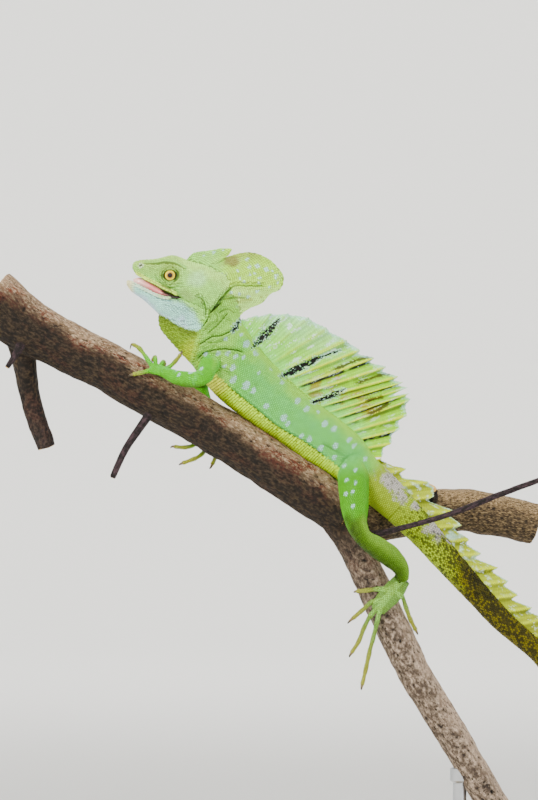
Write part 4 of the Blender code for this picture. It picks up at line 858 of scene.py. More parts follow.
def paint(points, part, along, around, draws):
    """The colour of skin or scales by their place, as linear red, green and blue; draws run from -1 to 1."""
    green, blue_green, leaf, neck_green, yellow, belly_under_shade, cream = hues(
        "#74DC40", "#70DE74", "#B4F84C", "#A8F05A", "#C4F400", "#5E5606", "#ECF848")
    olive, olive_dark, throat_yellow, cheek, crown, chin, pouch = hues(
        "#84AA20", "#39420C", "#BCD412", "#A2E468", "#BAEC74", "#A8E6D4", "#C0DEE8")
    tail_lime, tail_olive, dark_speck, shed, white, black, lip = hues(
        "#A8C420", "#70680C", "#17160D", "#CDC3C8", "#B8ECE2", "#0B0B0A", "#E6DCA0")
    arm, arm_under_shade, thigh_green, shank_olive, shank_shade, foot, toe = hues(
        "#60CC10", "#4A640B", "#58B400", "#567C00", "#1E3000", "#98D65C", "#A8A43C")
    x, y, z = points.T
    soft = rough(points, 9, 21, 3)
    fine = rough(points, 2.4, 31, 2)
    head, jaw, spine, crest = (among(part, name) for name in ("head", "jaw", "spine", "crest"))
    low = (0.5 - np.abs(around - 0.5)) * ~among(part, "spine_rise")  # 0 along the back, 0.5 below
    tint = np.repeat(green[None], len(points), axis=0)
    tint = laid(tint, blue_green, ramp(x, -84, -46) * (0.6 + 0.25 * soft + 0.08 * fine))
    tint = laid(tint, leaf, ramp(low + 0.05 * soft, 0.2, 0.03) * 0.85)
    neck = ramp(x + (z - 110) * -0.15, -62, -74) * spine
    tint = laid(tint, neck_green, neck * 0.85)
    far, side, _ = from_line(points, BELLY_LINE)
    belly = ramp(-far * side + 0.5 * fine, -0.6, 0.5) * spine * ramp(x, -97, -90) * ramp(x, 26, 12)
    # The belly's yellow, with painted shade along its lowest edge and a cream patch behind the arm
    tint = laid(tint, laid(
        laid(tint * 0 + yellow, belly_under_shade, ramp(low + 0.03 * soft, 0.34, 0.47) * ramp(x, 10, -40) * 0.6),
        cream, ramp(np.hypot(x + 82, z - 88), 13, 5)), belly)
    far, side, _ = from_line(points, THROAT_LINE)
    pouch_far, pouch_side, _ = from_line(points, POUCH_LINE)
    hung = ramp(pouch_far * pouch_side + 0.6 * fine, -0.7, 0.7)  # 0 below the jaw's pouch and 1 on it
    throat = ramp(-far * side + 1.5 * fine + 2 * soft, -4, 3) * (
        spine | (jaw & (x > -122))) * (1 - hung * (x < -86))
    rows = ramp(np.sin((z * 0.86 + x * 0.5) * 4.4 + 0.8 * soft), 0.1, 0.9)
    tint = laid(tint, laid(laid(
        tint * 0 + olive, olive_dark, np.maximum(ramp(fine + 0.6 * soft, 0.15, 0.7) * 0.5, rows * 0.45)),
        throat_yellow, ramp(z + 2 * soft - 0.5 * (x + 100), 116, 104) * (1 - 0.5 * rows)), throat)
    # painted shade on the throat just beneath the pouch
    tint = laid(tint, olive_dark, throat * ramp(pouch_far, 6, 0.5) * 0.45)
    tail = ramp(0.66 * x - 0.75 * z + 2 * soft, -13, -1) * spine
    tint = laid(tint, tail_lime, tail)
    tint = laid(tint, tail_olive, ramp(x + 4 * soft, 58, 84) * spine)
    bands = ramp(np.sin(along * 95 + 0.6 * soft), 0.25, 0.8) * ramp(z, -100, -160)
    tint = laid(tint, dark_speck, bands * spine * 0.6)
    specks = ramp(draws + 0.4 * soft + 0.75 * ramp(x, 48, 80) * ramp(x, 190, 110), 0.6, 0.75) * ramp(
        x, 26, 50) * spine
    tint = laid(tint, dark_speck, specks * 0.8)
    tint = laid(tint, dark_speck, patched(points, DARK_PATCHES, soft, fine) * spine * 0.6)
    flaked = laid(tint * 0 + shed, dark_speck, ramp(draws + 0.5 * fine, 0.6, 0.75) * 0.7)
    tint = laid(tint, flaked, patched(points, SHED_PATCHES, soft, fine) * spine * 0.85)

    tint = laid(tint, cheek, (head | (jaw & (hung > 0.5)) | (jaw & (x < -122))) * 1.0)
    tint = laid(tint, crown, head * ramp(low + 0.06 * soft, 0.24, 0.12))
    brow, temple, jowl, lip_yellow, nostril_rim = hues("#86A43C", "#B0E89A", "#98B468", "#CCDE48", "#DDE8CC")
    reach = np.hypot(x - EYE[0], z - EYE[2])
    tint = laid(tint, brow, head * ramp(z + soft, 154, 159) * ramp(x, -100, -108) * 0.4)
    tint = laid(tint, brow, head * ramp(reach + soft, 9, 5.5) * 0.5)
    tint = laid(tint, temple, head * ramp(np.hypot((x + 94) / 9, (z - 154) / 8) + 0.2 * soft, 1, 0.4) * 0.8)
    tint = laid(tint, jowl, head * ramp(np.hypot((x + 101) / 9, (z - 142) / 6) + 0.4 * soft, 1, 0.3) * 0.6)
    tint = laid(tint, brow, head * ramp(fine + 0.6 * soft, 0.2, 0.9) * 0.25)
    far, side, _ = from_line(points, CHIN_LINE)
    pale = ramp(-far * side + 1.2 * fine, -2.4, 1.6) * (
        jaw | (head & (z < 148)) | (spine & (x < -86))) * np.maximum(hung, x < -122)
    tint = laid(tint, laid(
        tint * 0 + chin, pouch, ramp(low + 0.1 * soft, 0.3, 0.42)), np.maximum(pale, jaw * (x < -122)))
    tint = laid(tint, lip, jaw * ramp(x, -134, -139) * 0.9)
    lip_far, _, _ = from_line(points, [place[::2] for place in LOWER_LIP])
    tint = laid(tint, lip, jaw * ramp(lip_far, 1.5, 0.5) * 0.35)
    lip_far, _, _ = from_line(points, [place[::2] for place in UPPER_LIP])
    tint = laid(tint, lip_yellow, head * ramp(lip_far, 1.6, 0.6) * 0.6)
    ear_far = np.hypot(x - EAR[0], (z - EAR[2]) / 1.12)
    drum = (np.abs(y) > 5) & (part < 3)
    tint = laid(tint, cheek * 0.94, drum * ramp(ear_far, EAR_RADIUS + 0.2, EAR_RADIUS - 0.6) * 0.8)
    # painted shade in the deep rear part of the ear's cup
    ear_cup_shade = ramp(np.abs(ear_far - EAR_RADIUS + 0.1), 0.9, 0.4) * ramp(x - 0.6 * (z - EAR[2]), -93, -90.5)
    tint = laid(tint, olive_dark * 0.6, drum * ear_cup_shade * 0.4)
    for side in (-1, 1):
        hole = np.linalg.norm(points - NOSTRIL * (1, side, 1), axis=1)
        tint = laid(tint, nostril_rim, ramp(hole, 2.1, 1.5) * head * 0.7)
        # painted shade: black in the nostril's opening
        tint = laid(tint, black, ramp(hole, 1.15, 0.8) * head)
    across = eye_place(points)
    lids = head & (np.abs(y) > 5)
    # painted shade in the crease where the lids turn in against the eye
    tint = laid(tint, black * 0.5, lids * ramp(across, 1.16, 1.02) * 0.9)
    for line, depth, width in FOLDS:
        far, _, share = from_line(points, line)
        shade = np.exp(-((far / (0.6 * width)) ** 2)) * ramp(share, 0, 0.1) * ramp(share, 1, 0.9)
        tint = laid(tint, olive_dark * 0.6, shade * (part < 3) * min(1, depth) * 0.85)

    crest_green, crest_pale, crest_pink, crest_fold_shade = hues("#B0E444", "#BCEC78", "#806E48", "#7A7210")
    tint = laid(tint, cheek, crest * 1.0)
    tint = laid(tint, crest_green, crest * ramp(x + 3 * soft, -84, -72))
    tint = laid(tint, crest_pale, crest * ramp(z + 2 * soft, 151, 145) * ramp(x, -76, -68) * 0.9)
    # painted shade in dark gold along the fold under the crest's lower lobe
    tint = laid(tint, crest_fold_shade, crest * ramp(soft + fine, -0.2, 0.6) * ramp(
        np.abs(z - 140.5 - 0.1 * (x + 60)), 3.4, 0.8) * ramp(x, -80, -72) * 0.7)
    tint = laid(tint, crest_pink, crest * ramp(
        z + 1.5 * fine, 164, 170) * ramp(x, -70, -66) * ramp(x, -46, -56) * 0.45)
    tint = laid(tint, crest_pink, crest * ramp(
        np.hypot((x + 70.5) / 8, (z - 165.5) / 4) + 0.7 * soft, 1.1, 0.4) * 0.8)
    tint = laid(tint, crest_pale, crest * ramp(soft + fine, 0.2, 0.9) * 0.5)
    tint = laid(tint, white, crest * spotted(points, CREST_SPOTS, draws, length=1.15) * 0.85)

    arms, legs, feet = among(part, "arm", "hand"), among(part, "leg"), among(part, "foot")
    tint = laid(tint, arm, arms * ramp(x + 1.2 * soft, -80, -86))
    tint = laid(tint, blue_green, arms * ramp(soft + fine, 0.1, 0.7) * 0.35)
    # painted shade along the underside of the forearm
    tint = laid(tint, arm_under_shade, arms * ramp(low + 0.05 * fine, 0.3, 0.46) * ramp(x, -112, -106) * 0.8)
    hip = legs * ramp(along + 0.03 * soft, 0.08, 0.26)
    tint = laid(tint, thigh_green, hip)
    knee = legs * ramp(along + 0.03 * soft, 0.46, 0.55)
    tint = laid(tint, shank_olive, knee * 0.9)
    # painted shade along the underside of the shank
    tint = laid(
        tint, shank_shade, knee * (0.6 + 0.4 * ramp(soft + fine, -0.3, 0.5)) * ramp(low, 0.16, 0.42) * 0.9)
    # painted light along the top of the shank
    tint = laid(tint, leaf, knee * ramp(low, 0.24, 0.1) * 0.3)
    tint = laid(tint, foot, feet * 1.0)
    tint = laid(tint, olive, feet * ramp(soft + fine, 0, 0.5) * 0.4)
    # painted shade in the grooves between the raised tendons of each sole
    for name in ("foot_l", "foot_r"):
        tint = laid(tint, shank_shade, among(part, name) * ramp(tendon_far(points, name), 0.7, 2) * 0.45)
    digits = np.array([name.count("_") > 1 for name in parts])[part]
    tint = laid(tint, toe, digits * ramp(along + 0.1 * fine, 0.15, 0.85) * 0.85)

    flank = (spine | head) | (legs & (along < 0.5)) | arms
    shifted = points + np.where(y > 0, 1, 0)[:, None] * np.array((4.0, 0, -2.5))
    spots = spotted(shifted, SPOTS, draws) * flank * ramp(low + (~spine) * 0.2, 0.06, 0.1) * (1 - belly)
    tint = laid(tint, white, spots * 0.92)
    ink, border = inked(points, draws)
    tint = laid(tint, white, border * spine * (low < 0.3))
    tint = laid(tint, black, ink * spine * (low < 0.3))
    return tint


def keep_tint(piece, tint):
    held = piece.data.attributes.new("tint", "FLOAT_COLOR", "POINT")
    held.data.foreach_set("color", np.column_stack([tint, np.ones(len(tint))]).ravel())


points, normals = read_points(skin)
part, along, around = lofts.find(points)
draws = rough(points, 0.9, 41, 1) * 1.4
# The skin's colours, with painted shade where it shows between the scales
keep_tint(skin, paint(points, part, along, around, draws) * SHADE_BETWEEN_SCALES)
tint_at = add(skin_tree, "Attribute", attribute_name="tint").outputs["Color"]
place_at = add(skin_tree, "TexCoord").outputs["Object"]
mottle = add(skin_tree, "TexNoise", {
    "Vector": place_at, "Scale": 1 / (MOTTLE * MM), "Detail": 4.0, "Roughness": 0.65})
mottle_step = add(skin_tree, "MapRange", {
    "Value": mottle.outputs["Fac"], "From Min": 0.3, "From Max": 0.7, "To Min": 0.86, "To Max": 1.1})
shaded = add(
    skin_tree, "Mix", {0: 1.0, 6: tint_at, 7: mottle_step.outputs["Result"]},
    data_type="RGBA", blend_type="MULTIPLY")
skin_tree.links.new(shaded.outputs[2], skin_shader.inputs["Base Color"])
gloss = add(skin_tree, "MapRange", {"Value": mottle.outputs["Fac"], "To Min": 0.36, "To Max": 0.58})
skin_tree.links.new(gloss.outputs["Result"], skin_shader.inputs["Roughness"])
grit = add(skin_tree, "TexNoise", {"Vector": place_at, "Scale": 1 / (GRIT * MM), "Detail": 3.0})
grain = add(skin_tree, "Bump", {"Height": grit.outputs["Fac"], "Strength": 0.35, "Distance": 0.1 * MM})
skin_tree.links.new(grain.outputs["Normal"], skin_shader.inputs["Normal"])
skin_shader.inputs["Subsurface Weight"].default_value = 0.12
skin_shader.inputs["Subsurface Radius"].default_value = (0.002, 0.0016, 0.0006)
skin_shader.inputs["Subsurface Scale"].default_value = 1.0
skin_shader.inputs["Specular IOR Level"].default_value = 0.14

# The scales: small plates of horny skin that touch in staggered rows. They are round grains on the head and
# throat, lozenges on the flanks, wide plates across the belly, and keeled plates down the tail.
RIM = np.array(((1, 0), (0.5, 1), (-0.5, 1), (-1, 0), (-0.5, -1), (0.5, -1)), float)
PLATE_RIM = RIM * (0.68, 1.45) + np.sign(RIM) * (0.3, 0) * (np.abs(RIM[:, :1]) < 1)  # wide and square
PATCH = 0.003  # the size of a scale on the unwrapped skin


def triangles_piece(name, points, faces, material):
    """A new object from arrays of points, in millimetres from the fork, and triangles."""
    data = bpy.data.meshes.new(name)
    data.vertices.add(len(points))
    data.vertices.foreach_set("co", ((points + FORK) * MM).ravel())
    data.loops.add(faces.size)
    data.loops.foreach_set("vertex_index", faces.astype(np.int32).ravel())
    data.polygons.add(len(faces))
    data.polygons.foreach_set("loop_start", np.arange(0, faces.size, 3, dtype=np.int32))
    data.update(calc_edges=True)
    data.shade_smooth()
    data.materials.append(material)
    piece = bpy.data.objects.new(name, data)
    bpy.context.scene.collection.objects.link(piece)
    return piece


def scale_rows(grid, pitch, cross_pitch, step=4):
    """Rows of scales over a grid of rings.

    Each scale is its place, the half step to the next row, the half width, and its shares along and around.
    """
    lengths = np.linalg.norm(np.diff(grid, axis=0), axis=2).mean(axis=1)
    knots = np.concatenate([[0], np.cumsum(lengths)])
    made = []
    for number, place in enumerate(np.arange(pitch / 2, knots[-1] - pitch / 2, pitch)):
        ring_at, ahead, behind = (
            np.interp(place + offset, knots, np.arange(len(knots))) for offset in (0, pitch / 2, -pitch / 2))
        rings = []
        for at in (ring_at, ahead, behind):
            low = min(int(at), len(grid) - 2)
            ring = grid[low] * (1 - (at - low)) + grid[low + 1] * (at - low)
            rings.append(np.vstack([ring, ring[:1]]))
        sides = np.linalg.norm(np.diff(rings[0], axis=0), axis=1)
        turns = np.concatenate([[0], np.cumsum(sides)])
        count = max(step, round(turns[-1] / cross_pitch / step) * step)
        shares = (np.arange(count) + 0.5 * (number % 2)) / count
        slots = np.interp(shares * turns[-1], turns, np.arange(len(turns)))
        corner = np.minimum(slots.astype(int), len(rings[0]) - 2)
        part_way = (slots - corner)[:, None]
        here, front, back = (ring[corner] * (1 - part_way) + ring[corner + 1] * part_way for ring in rings)
        across = rings[0][corner + 1] - rings[0][corner]
        across /= np.linalg.norm(across, axis=1)[:, None] + 1e-9
        turns_at = (slots / (len(rings[0]) - 1)) % 1
        made.append(np.column_stack([
            here, (front - back) / 2, across * turns[-1] / count / 2,
            np.full(count, ring_at / (len(grid) - 1)), turns_at]))
    return np.concatenate(made)


def seated(rows, tree, reach, taken=None, spacing=0.0):
    """Drops rows of scales onto the skin and leaves out those with none close under them, or no room."""
    kept = []
    for row in rows:
        outward = np.cross(row[3:6], row[6:9])
        outward /= np.linalg.norm(outward) + 1e-9
        spot, normal, _, _ = tree.find_nearest(Vector((row[:3] + FORK) * MM), reach * MM)
        if spot is None:
            continue
        normal = np.array(normal)
        lined = outward @ normal
        if abs(lined) < 0.55:
            continue
        spot = np.array(spot) / MM - FORK
        if taken is not None and taken.find(spot)[2] is not None and taken.find(spot)[2] < spacing:
            continue
        normal = normal + outward * np.sign(lined) * 0.6
        kept.append(np.concatenate([spot, row[3:9], row[9:11], normal / np.linalg.norm(normal)]))
    return np.array(kept).reshape(-1, 14)


def scales_mesh(kept, rise, keel, draw, domed, rim):
    """Points and triangles of flat closed plates at seated rows, each with its hind tip a little raised."""
    spots, ahead, across, normal = kept[:, :3], kept[:, 3:6], kept[:, 6:9], kept[:, 11:14]
    ahead = ahead - normal * (ahead * normal).sum(axis=1)[:, None]
    across = across - normal * (across * normal).sum(axis=1)[:, None]
    sizes = 1 + 0.1 * draw.uniform(-1, 1, (len(kept), 1))
    ahead, across = ahead * 1.36 * sizes, across * 0.98 * sizes
    wide = np.linalg.norm(across, axis=1)[:, None]
    high = np.minimum(rise, wide * 0.9) * (1 + 0.25 * draw.uniform(-1, 1, (len(kept), 1)))
    corners = []
    for a, b in rim:
        lifted = -0.12 + 0.45 * high * keel * max(0, a) ** 2
        corners.append(spots + ahead * a * (1.1 if a == 1 else 1) + across * b + normal * lifted)
    if domed:
        for a, b in rim:
            corners.append(spots + ahead * a * 0.62 + across * b * 0.62 + normal * high * 0.8)
    corners.append(spots + normal * high + ahead * 0.2 * keel)
    corners.append(spots - normal * 0.35)
    faces = []
    top, bottom, ring = len(corners) - 2, len(corners) - 1, 6 if domed else 0
    for i in range(6):
        j = (i + 1) % 6
        if domed:
            faces += [(i, j, 6 + j), (i, 6 + j, 6 + i)]
        faces += [(ring + i, ring + j, top), (j, i, bottom)]
    shape = np.stack(corners, axis=1)
    turned = (np.cross(ahead, across) * normal).sum(axis=1) < 0
    faces = np.repeat(np.array(faces)[None], len(kept), axis=0)
    faces[turned] = faces[turned][:, :, ::-1]
    faces = faces + (np.arange(len(kept)) * len(corners))[:, None, None]
    return shape, faces


def scale_piece(name, groups, colour_of, seed):
    """One mesh of scales from groups of seated rows, each with its tile, part and form."""
    draw = np.random.default_rng(seed)
    shapes, faces, tints, maps = [], [], [], []
    start = 0
    tiles = 1 + max(group[0] for group in groups)
    for tile, number, kept, rise, keel, domed, shade, rim in groups:
        if not len(kept):
            continue
        shape, group_faces = scales_mesh(kept, rise, keel, draw, domed, rim)
        chance = draw.uniform(-1, 1, len(kept))
        parts_at = np.full(len(kept), number)
        tint = colour_of(kept[:, :3], parts_at, kept[:, 9], kept[:, 10], chance)
        tint = tint * (1 + 0.09 * draw.uniform(-1, 1, (len(kept), 1)))
        # Painted shade and light on each scale: its rim darker, darkest in front under the row before it, and
        # its middle lighter
        shades = np.full(shape.shape[1], shade)
        shades[:6] += (1 - shade) * 0.35 * keel * (1 + RIM[:, 0])  # dark in front, under the row before it
        shades[6:] = 1.08
        shades[6:12] += 0.35 * keel * np.minimum(RIM[: len(shades[6:12]), 0], 0) * domed
        tints.append((tint[:, None] * shades[None, :, None]).reshape(-1, 3))
        spot = np.column_stack([
            0.005 + (tile + kept[:, 10] * 0.96) / tiles * 0.99, 0.005 + kept[:, 9] * 0.99])
        ring = np.vstack([RIM] * (shape.shape[1] // 6) + [np.zeros((2, 2))])[: shape.shape[1]]
        maps.append((spot[:, None] + ring[None] * PATCH / 2).reshape(-1, 2))
        shapes.append(shape.reshape(-1, 3))
        faces.append(group_faces.reshape(-1, 3) + start)
        start += len(shapes[-1])
    faces = np.concatenate(faces)
    piece = triangles_piece(name, np.concatenate(shapes), faces, scaly)
    keep_tint(piece, np.concatenate(tints))
    layer = piece.data.uv_layers.new(name="OFBake")
    layer.data.foreach_set("uv", np.concatenate(maps)[faces.ravel()].astype(np.float32).ravel())
    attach(piece, "root")
    return piece


bpy.context.view_layer.update()
skin_seat = BVHTree.FromObject(skin, bpy.context.evaluated_depsgraph_get())
SCALE_SIZES = {  # pitch along and across, rise, keel, whether domed, the rim's shade and its shape
    "head": (1.2, 1.36, 0.24, 0.2, True, 0.72, RIM), "jaw": (1.2, 1.38, 0.3, 0.0, True, 0.66, RIM),
    "trunk": (1.2, 1.4, 0.26, 0.5, False, 0.4, RIM), "throat": (1.1, 1.3, 0.3, 0.0, True, 0.55, RIM),
    "belly": (1.6, 3.2, 0.32, 0.9, True, 0.02, PLATE_RIM), "tail": (1.5, 1.6, 0.36, 1.0, False, 0.3, RIM),
    "limb": (1.2, 1.35, 0.24, 0.5, False, 0.5, RIM), "digit": (1.05, 1.35, 0.24, 0.8, False, 0.6, RIM),
    "casque": (1.25, 1.45, 0.2, 0.1, True, 0.74, RIM), "lip": (2.1, 1.5, 0.3, 0.2, True, 0.84, RIM),
    "brow": (1.7, 1.5, 0.26, 0.2, True, 0.84, RIM), "lid": (0, 0, 0.28, 0.0, True, 0.8, RIM),
}
HIP = 0.3  # where the trunk's small scales give way to the tail's, as a share of the spine
numbers = {name: number for number, name in enumerate(parts)}
groups = {"head": [], "trunk": [], "tail": [], "limb": [], "digit": [], "casque": []}
placed = []


def taken_tree():
    """Finds scales that are already placed."""
    tree = KDTree(sum(len(rows) for rows in placed) + 1)
    tree.insert((0, 0, -9999), 0)
    for rows in placed:
        for spot in rows[:, :3].tolist():
            tree.insert(spot, 1)
    tree.balance()
    return tree


def cover(group, tile, name, size, reach, spacing, step=4, keep=None, span=(0, 1)):
    """Seats one kind of scale on a body part, or on a span of it, clear of those already there."""
    pitch, cross, *form = SCALE_SIZES[size]
    last = len(parts[name]) - 1
    first, end = (round(share * last) for share in span)
    rows = scale_rows(parts[name][first : end + 1], pitch, cross, step)
    rows[:, 9] = (first + rows[:, 9] * (end - first)) / last
    if keep is not None:
        rows = rows[keep(rows)]
    rows = seated(rows, skin_seat, reach, taken_tree(), spacing)
    placed.append(rows)
    groups[group].append((tile, numbers[name], rows, *form))


def bare_free(rows):
    """Scales that lie on neither eye nor nostril."""
    outer = np.abs(rows[:, 1]) > 4
    eye = outer & (eye_place(rows[:, :3]) < 1.12)
    one_side = np.column_stack([rows[:, 0], np.abs(rows[:, 1]), rows[:, 2]])
    nostril = np.linalg.norm(one_side - NOSTRIL, axis=1) < 1.1
    return ~(eye | nostril)


def on_throat(rows):
    far, side, _ = from_line(rows[:, :3], THROAT_LINE)
    return (far * side < 1) & (rows[:, 2] > 97)


def on_belly(rows):
    far, side, _ = from_line(rows[:, :3], BELLY_LINE)
    return (far * side < 0) & (rows[:, 0] > -96) & (rows[:, 0] < 20) & ~on_throat(rows)


for name in ("head", "jaw"):
    cover("head", numbers[name], name, name, 1.6, 1.0, keep=bare_free)
    tile, number, rows, *form = groups["head"].pop()
    inside = rows[:, 1] * rows[:, 12] < 0  # those that face into the mouth
    placed[-1] = rows[~inside]
    groups["head"].append((tile, number, rows[~inside], *form))
cover("trunk", 0, "spine", "throat", 1.8, 0.95, keep=on_throat, span=(0, HIP))
cover("trunk", 0, "spine", "belly", 1.8, 0.95, keep=on_belly, span=(0, HIP))
cover("trunk", 0, "spine", "trunk", 1.8, 0.9, span=(0, HIP))
cover("tail", 0, "spine", "tail", 1.8, 0.95, span=(HIP, 1))
cover("tail", 1, "spine_rise", "trunk", 1.5, 0.9)
for tile, name in enumerate(("arm_l", "arm_r", "leg_l", "leg_r")):
    cover("limb", tile, name, "limb", 1.6, 0.9, step=2)
for tile, name in enumerate([name for name in parts if name.startswith(("hand", "foot"))]):
    cover("digit", tile, name, "digit", 1.2, 0.75, step=1)
for tile, name in enumerate(("crest_rear", "crest_front")):
    cover("casque", tile, name, "casque", 1.5, 1.0)

# Plates that follow a line: along both lips, the brow and the rims of the lids
for route, size, name in ((UPPER_LIP, "lip", "head"), (LOWER_LIP, "lip", "jaw"), (BROW, "brow", "head")):
    pitch, width, *form = SCALE_SIZES[size]
    for side in (-1, 1):
        path = smooth(route, 60) * (1, side, 1)
        length = np.linalg.norm(np.diff(path, axis=0), axis=1).sum()
        spots = smooth(path, round(length / pitch))
        runs = np.gradient(spots, axis=0)
        rows = []
        for lane in (-0.5, 0.5):
            for number, (spot, run) in enumerate(zip(spots, runs)):
                out = np.array((0, side, 1.0 if size == "brow" else 0.15))
                out -= run * (out @ run) / (run @ run)
                out /= np.linalg.norm(out)
                up = np.cross(run / np.linalg.norm(run), out)
                place = spot + out * 1.2 + up * lane * width + run * lane * 0.5
                rows.append((*place, *(run / 2), *(up * width * 0.5), number / len(spots), 0.5 + 0.4 * lane))
        rows = seated(np.array(rows), skin_seat, 2.2)
        groups["head"].append((2, numbers[name], rows[bare_free(rows)], *form))
for side in (-1, 1):
    for ring, size, count in ((1.16, 0.42, 40), (1.42, 0.55, 36)):
        angles = (np.arange(count) + 0.5 * (ring > 1.3)) * 2 * math.pi / count
        flat = np.column_stack([OPENING_LENGTH * np.cos(angles), OPENING_HEIGHT * np.sin(angles)]) * ring
        turn = np.array([
            [math.cos(OPENING_TILT), math.sin(OPENING_TILT)],
            [-math.sin(OPENING_TILT), math.cos(OPENING_TILT)],
        ])
        flat = flat @ turn
        runs = np.gradient(flat, axis=0)
        runs /= np.linalg.norm(runs, axis=1)[:, None]
        rows = [
            (EYE[0] + a, side * 9.6, EYE[2] + b, run[0] * size, 0, run[1] * size,
             -run[1] * size * side, 0, run[0] * size * side,
             0.2 + 0.2 * ring + 0.01 * number, 0.5 + 0.2 * side)
            for number, ((a, b), run) in enumerate(zip(flat, runs))
        ]
        groups["head"].append(
            (3, numbers["head"], seated(np.array(rows), skin_seat, 3), *SCALE_SIZES["lid"][2:]))
for seed, (name, rows) in enumerate(groups.items()):
    scale_piece(name + "_scales", rows, paint, 50 + seed)

# The eyes: balls of clear, wet tissue over a gold iris with a round black pupil. The cornea stands a little
# proud of the ball between the lids, and the film of tears on it gives one small bright glint.
EYE_SIDES, IRIS_SPAN = 72, 5.0
IRIS_STOPS = (  # millimetres from the middle of the pupil
    (1.5, "#050505"), (1.64, "#5A3408"), (1.95, "#A87408"), (2.45, "#D8BC00"), (2.9, "#F0DC10"),
    (3.25, "#E4CC00"), (3.5, "#5A4408"), (3.7, "#120D0A"),
)
eye_finish, tree, shader = finish("wet_eye", Roughness=0.4, Coat_Weight=0.22, Coat_Roughness=0.03, IOR=1.3)
reach_at = add(tree, "Attribute", attribute_name="reach").outputs["Fac"]
spoke_at = add(tree, "Attribute", attribute_name="spoke").outputs["Vector"]
spokes = add(tree, "TexNoise", {"Vector": spoke_at, "Scale": 1.0, "Detail": 4.0, "Roughness": 0.6})
wander = add(tree, "Math", {0: spokes.outputs["Fac"], 1: 0.25, 2: reach_at}, operation="MULTIPLY_ADD")
share = add(tree, "Math", {0: wander.outputs[0], 1: IRIS_SPAN}, operation="DIVIDE")
iris = add(tree, "ValToRGB", {"Fac": share.outputs[0]})
for number, (place, code) in enumerate(IRIS_STOPS):
    stops = iris.color_ramp.elements
    stop = stops[number] if number < 2 else stops.new(place / IRIS_SPAN)
    stop.position = place / IRIS_SPAN
    stop.color = linear(code)
tree.links.new(iris.outputs["Color"], shader.inputs["Base Color"])
for letter, side in (("l", -1), ("r", 1)):
    tilt = np.concatenate([np.linspace(0.002, 1.1, 46), np.linspace(1.15, math.pi - 0.01, 24)])
    turn = np.arange(EYE_SIDES) * 2 * math.pi / EYE_SIDES
    cornea = 0.22 * np.exp(-((tilt / 0.55) ** 4))
    reach = EYE_RADIUS * 1.08 * np.sin(tilt)
    depth = side * (EYE[1] + (EYE_RADIUS * np.cos(tilt) + cornea))
    grid = np.stack([
        EYE[0] + reach[:, None] * np.cos(turn), depth[:, None] + 0 * turn,
        EYE[2] + reach[:, None] * np.sin(turn)], axis=-1)
    ball = mesh_piece(f"eye_{letter}_ball", grid.reshape(-1, 3), closed_faces(grid.shape, 0), eye_finish)
    reach_each = np.repeat(reach, EYE_SIDES)
    keep_values(ball, "reach", reach_each)
    spoke = 3.2 * np.tile(np.stack([np.cos(turn), np.sin(turn)], axis=-1), (len(tilt), 1))
    keep_values(ball, "spoke", np.column_stack([spoke, reach_each * 0.35]))
    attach(ball, "root")
    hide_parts("eye_" + letter)

# The lining of the mouth and the broad, fleshy tongue, in one piece: wet, soft flesh that lets some light in,
# smooth and pink, dark red at the back and corners as painted shade deep in the mouth.
BUD = 0.556  # the grain of the tongue
LINING = (
    (-136.2, 154.2, -136.2, 150, 1.6), (-132.6, 154.8, -132.6, 148, 3.1), (-127, 152.8, -127, 146, 4.1),
    (-121, 149.4, -121, 142.6, 5.3), (-115.5, 146.2, -115.5, 140.5, 6.6), (-111, 144.6, -111, 139.6, 7.4),
    (-107, 143.6, -107, 139.6, 7.2), (-104, 142.4, -104, 140, 5),
)
wet_pink, tree, shader = finish("wet_pink_flesh", Roughness=0.28, Coat_Weight=0.6, Coat_Roughness=0.08)
shader.inputs["Subsurface Weight"].default_value = 0.25
shader.inputs["Subsurface Radius"].default_value = (0.003, 0.001, 0.0008)
shader.inputs["Subsurface Scale"].default_value = 1.0
grid = body_grid(LINING, 90, 48, 0)
points = grid.reshape(-1, 3)
groove = np.exp(-((points[:, 1] / 0.7) ** 2)) * (points[:, 2] > 148) * 0.35
points[:, 2] -= groove
points += rough(points, 2.2, 61, 3)[:, None] * 0.14
lining = mesh_piece("mouth_lining", points, closed_faces(grid.shape, 0), wet_pink)
pink, pale_pink, mouth_depth_shade = hues("#F08489", "#F2C3B9", "#2A0E0E")
tint = np.repeat(pink[None], len(points), axis=0)
tint = laid(tint, pale_pink, ramp(points[:, 0], -122, -133) * 0.8 + 0.3 * rough(points, 3, 62, 3))
# painted shade towards the back of the mouth
tint = laid(tint, mouth_depth_shade, ramp(points[:, 0] + 2 * rough(points, 3, 63, 2), -119, -114.5))
keep_tint(lining, tint)
tint_at = add(tree, "Attribute", attribute_name="tint").outputs["Color"]
tree.links.new(tint_at, shader.inputs["Base Color"])
place_at = add(tree, "TexCoord").outputs["Object"]
buds = add(tree, "TexNoise", {"Vector": place_at, "Scale": 1 / (BUD * MM), "Detail": 3.0})
bump = add(tree, "Bump", {"Height": buds.outputs["Fac"], "Strength": 0.4, "Distance": 0.2 * MM})
tree.links.new(bump.outputs["Normal"], shader.inputs["Normal"])
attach(lining, "root")
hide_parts("tongue")

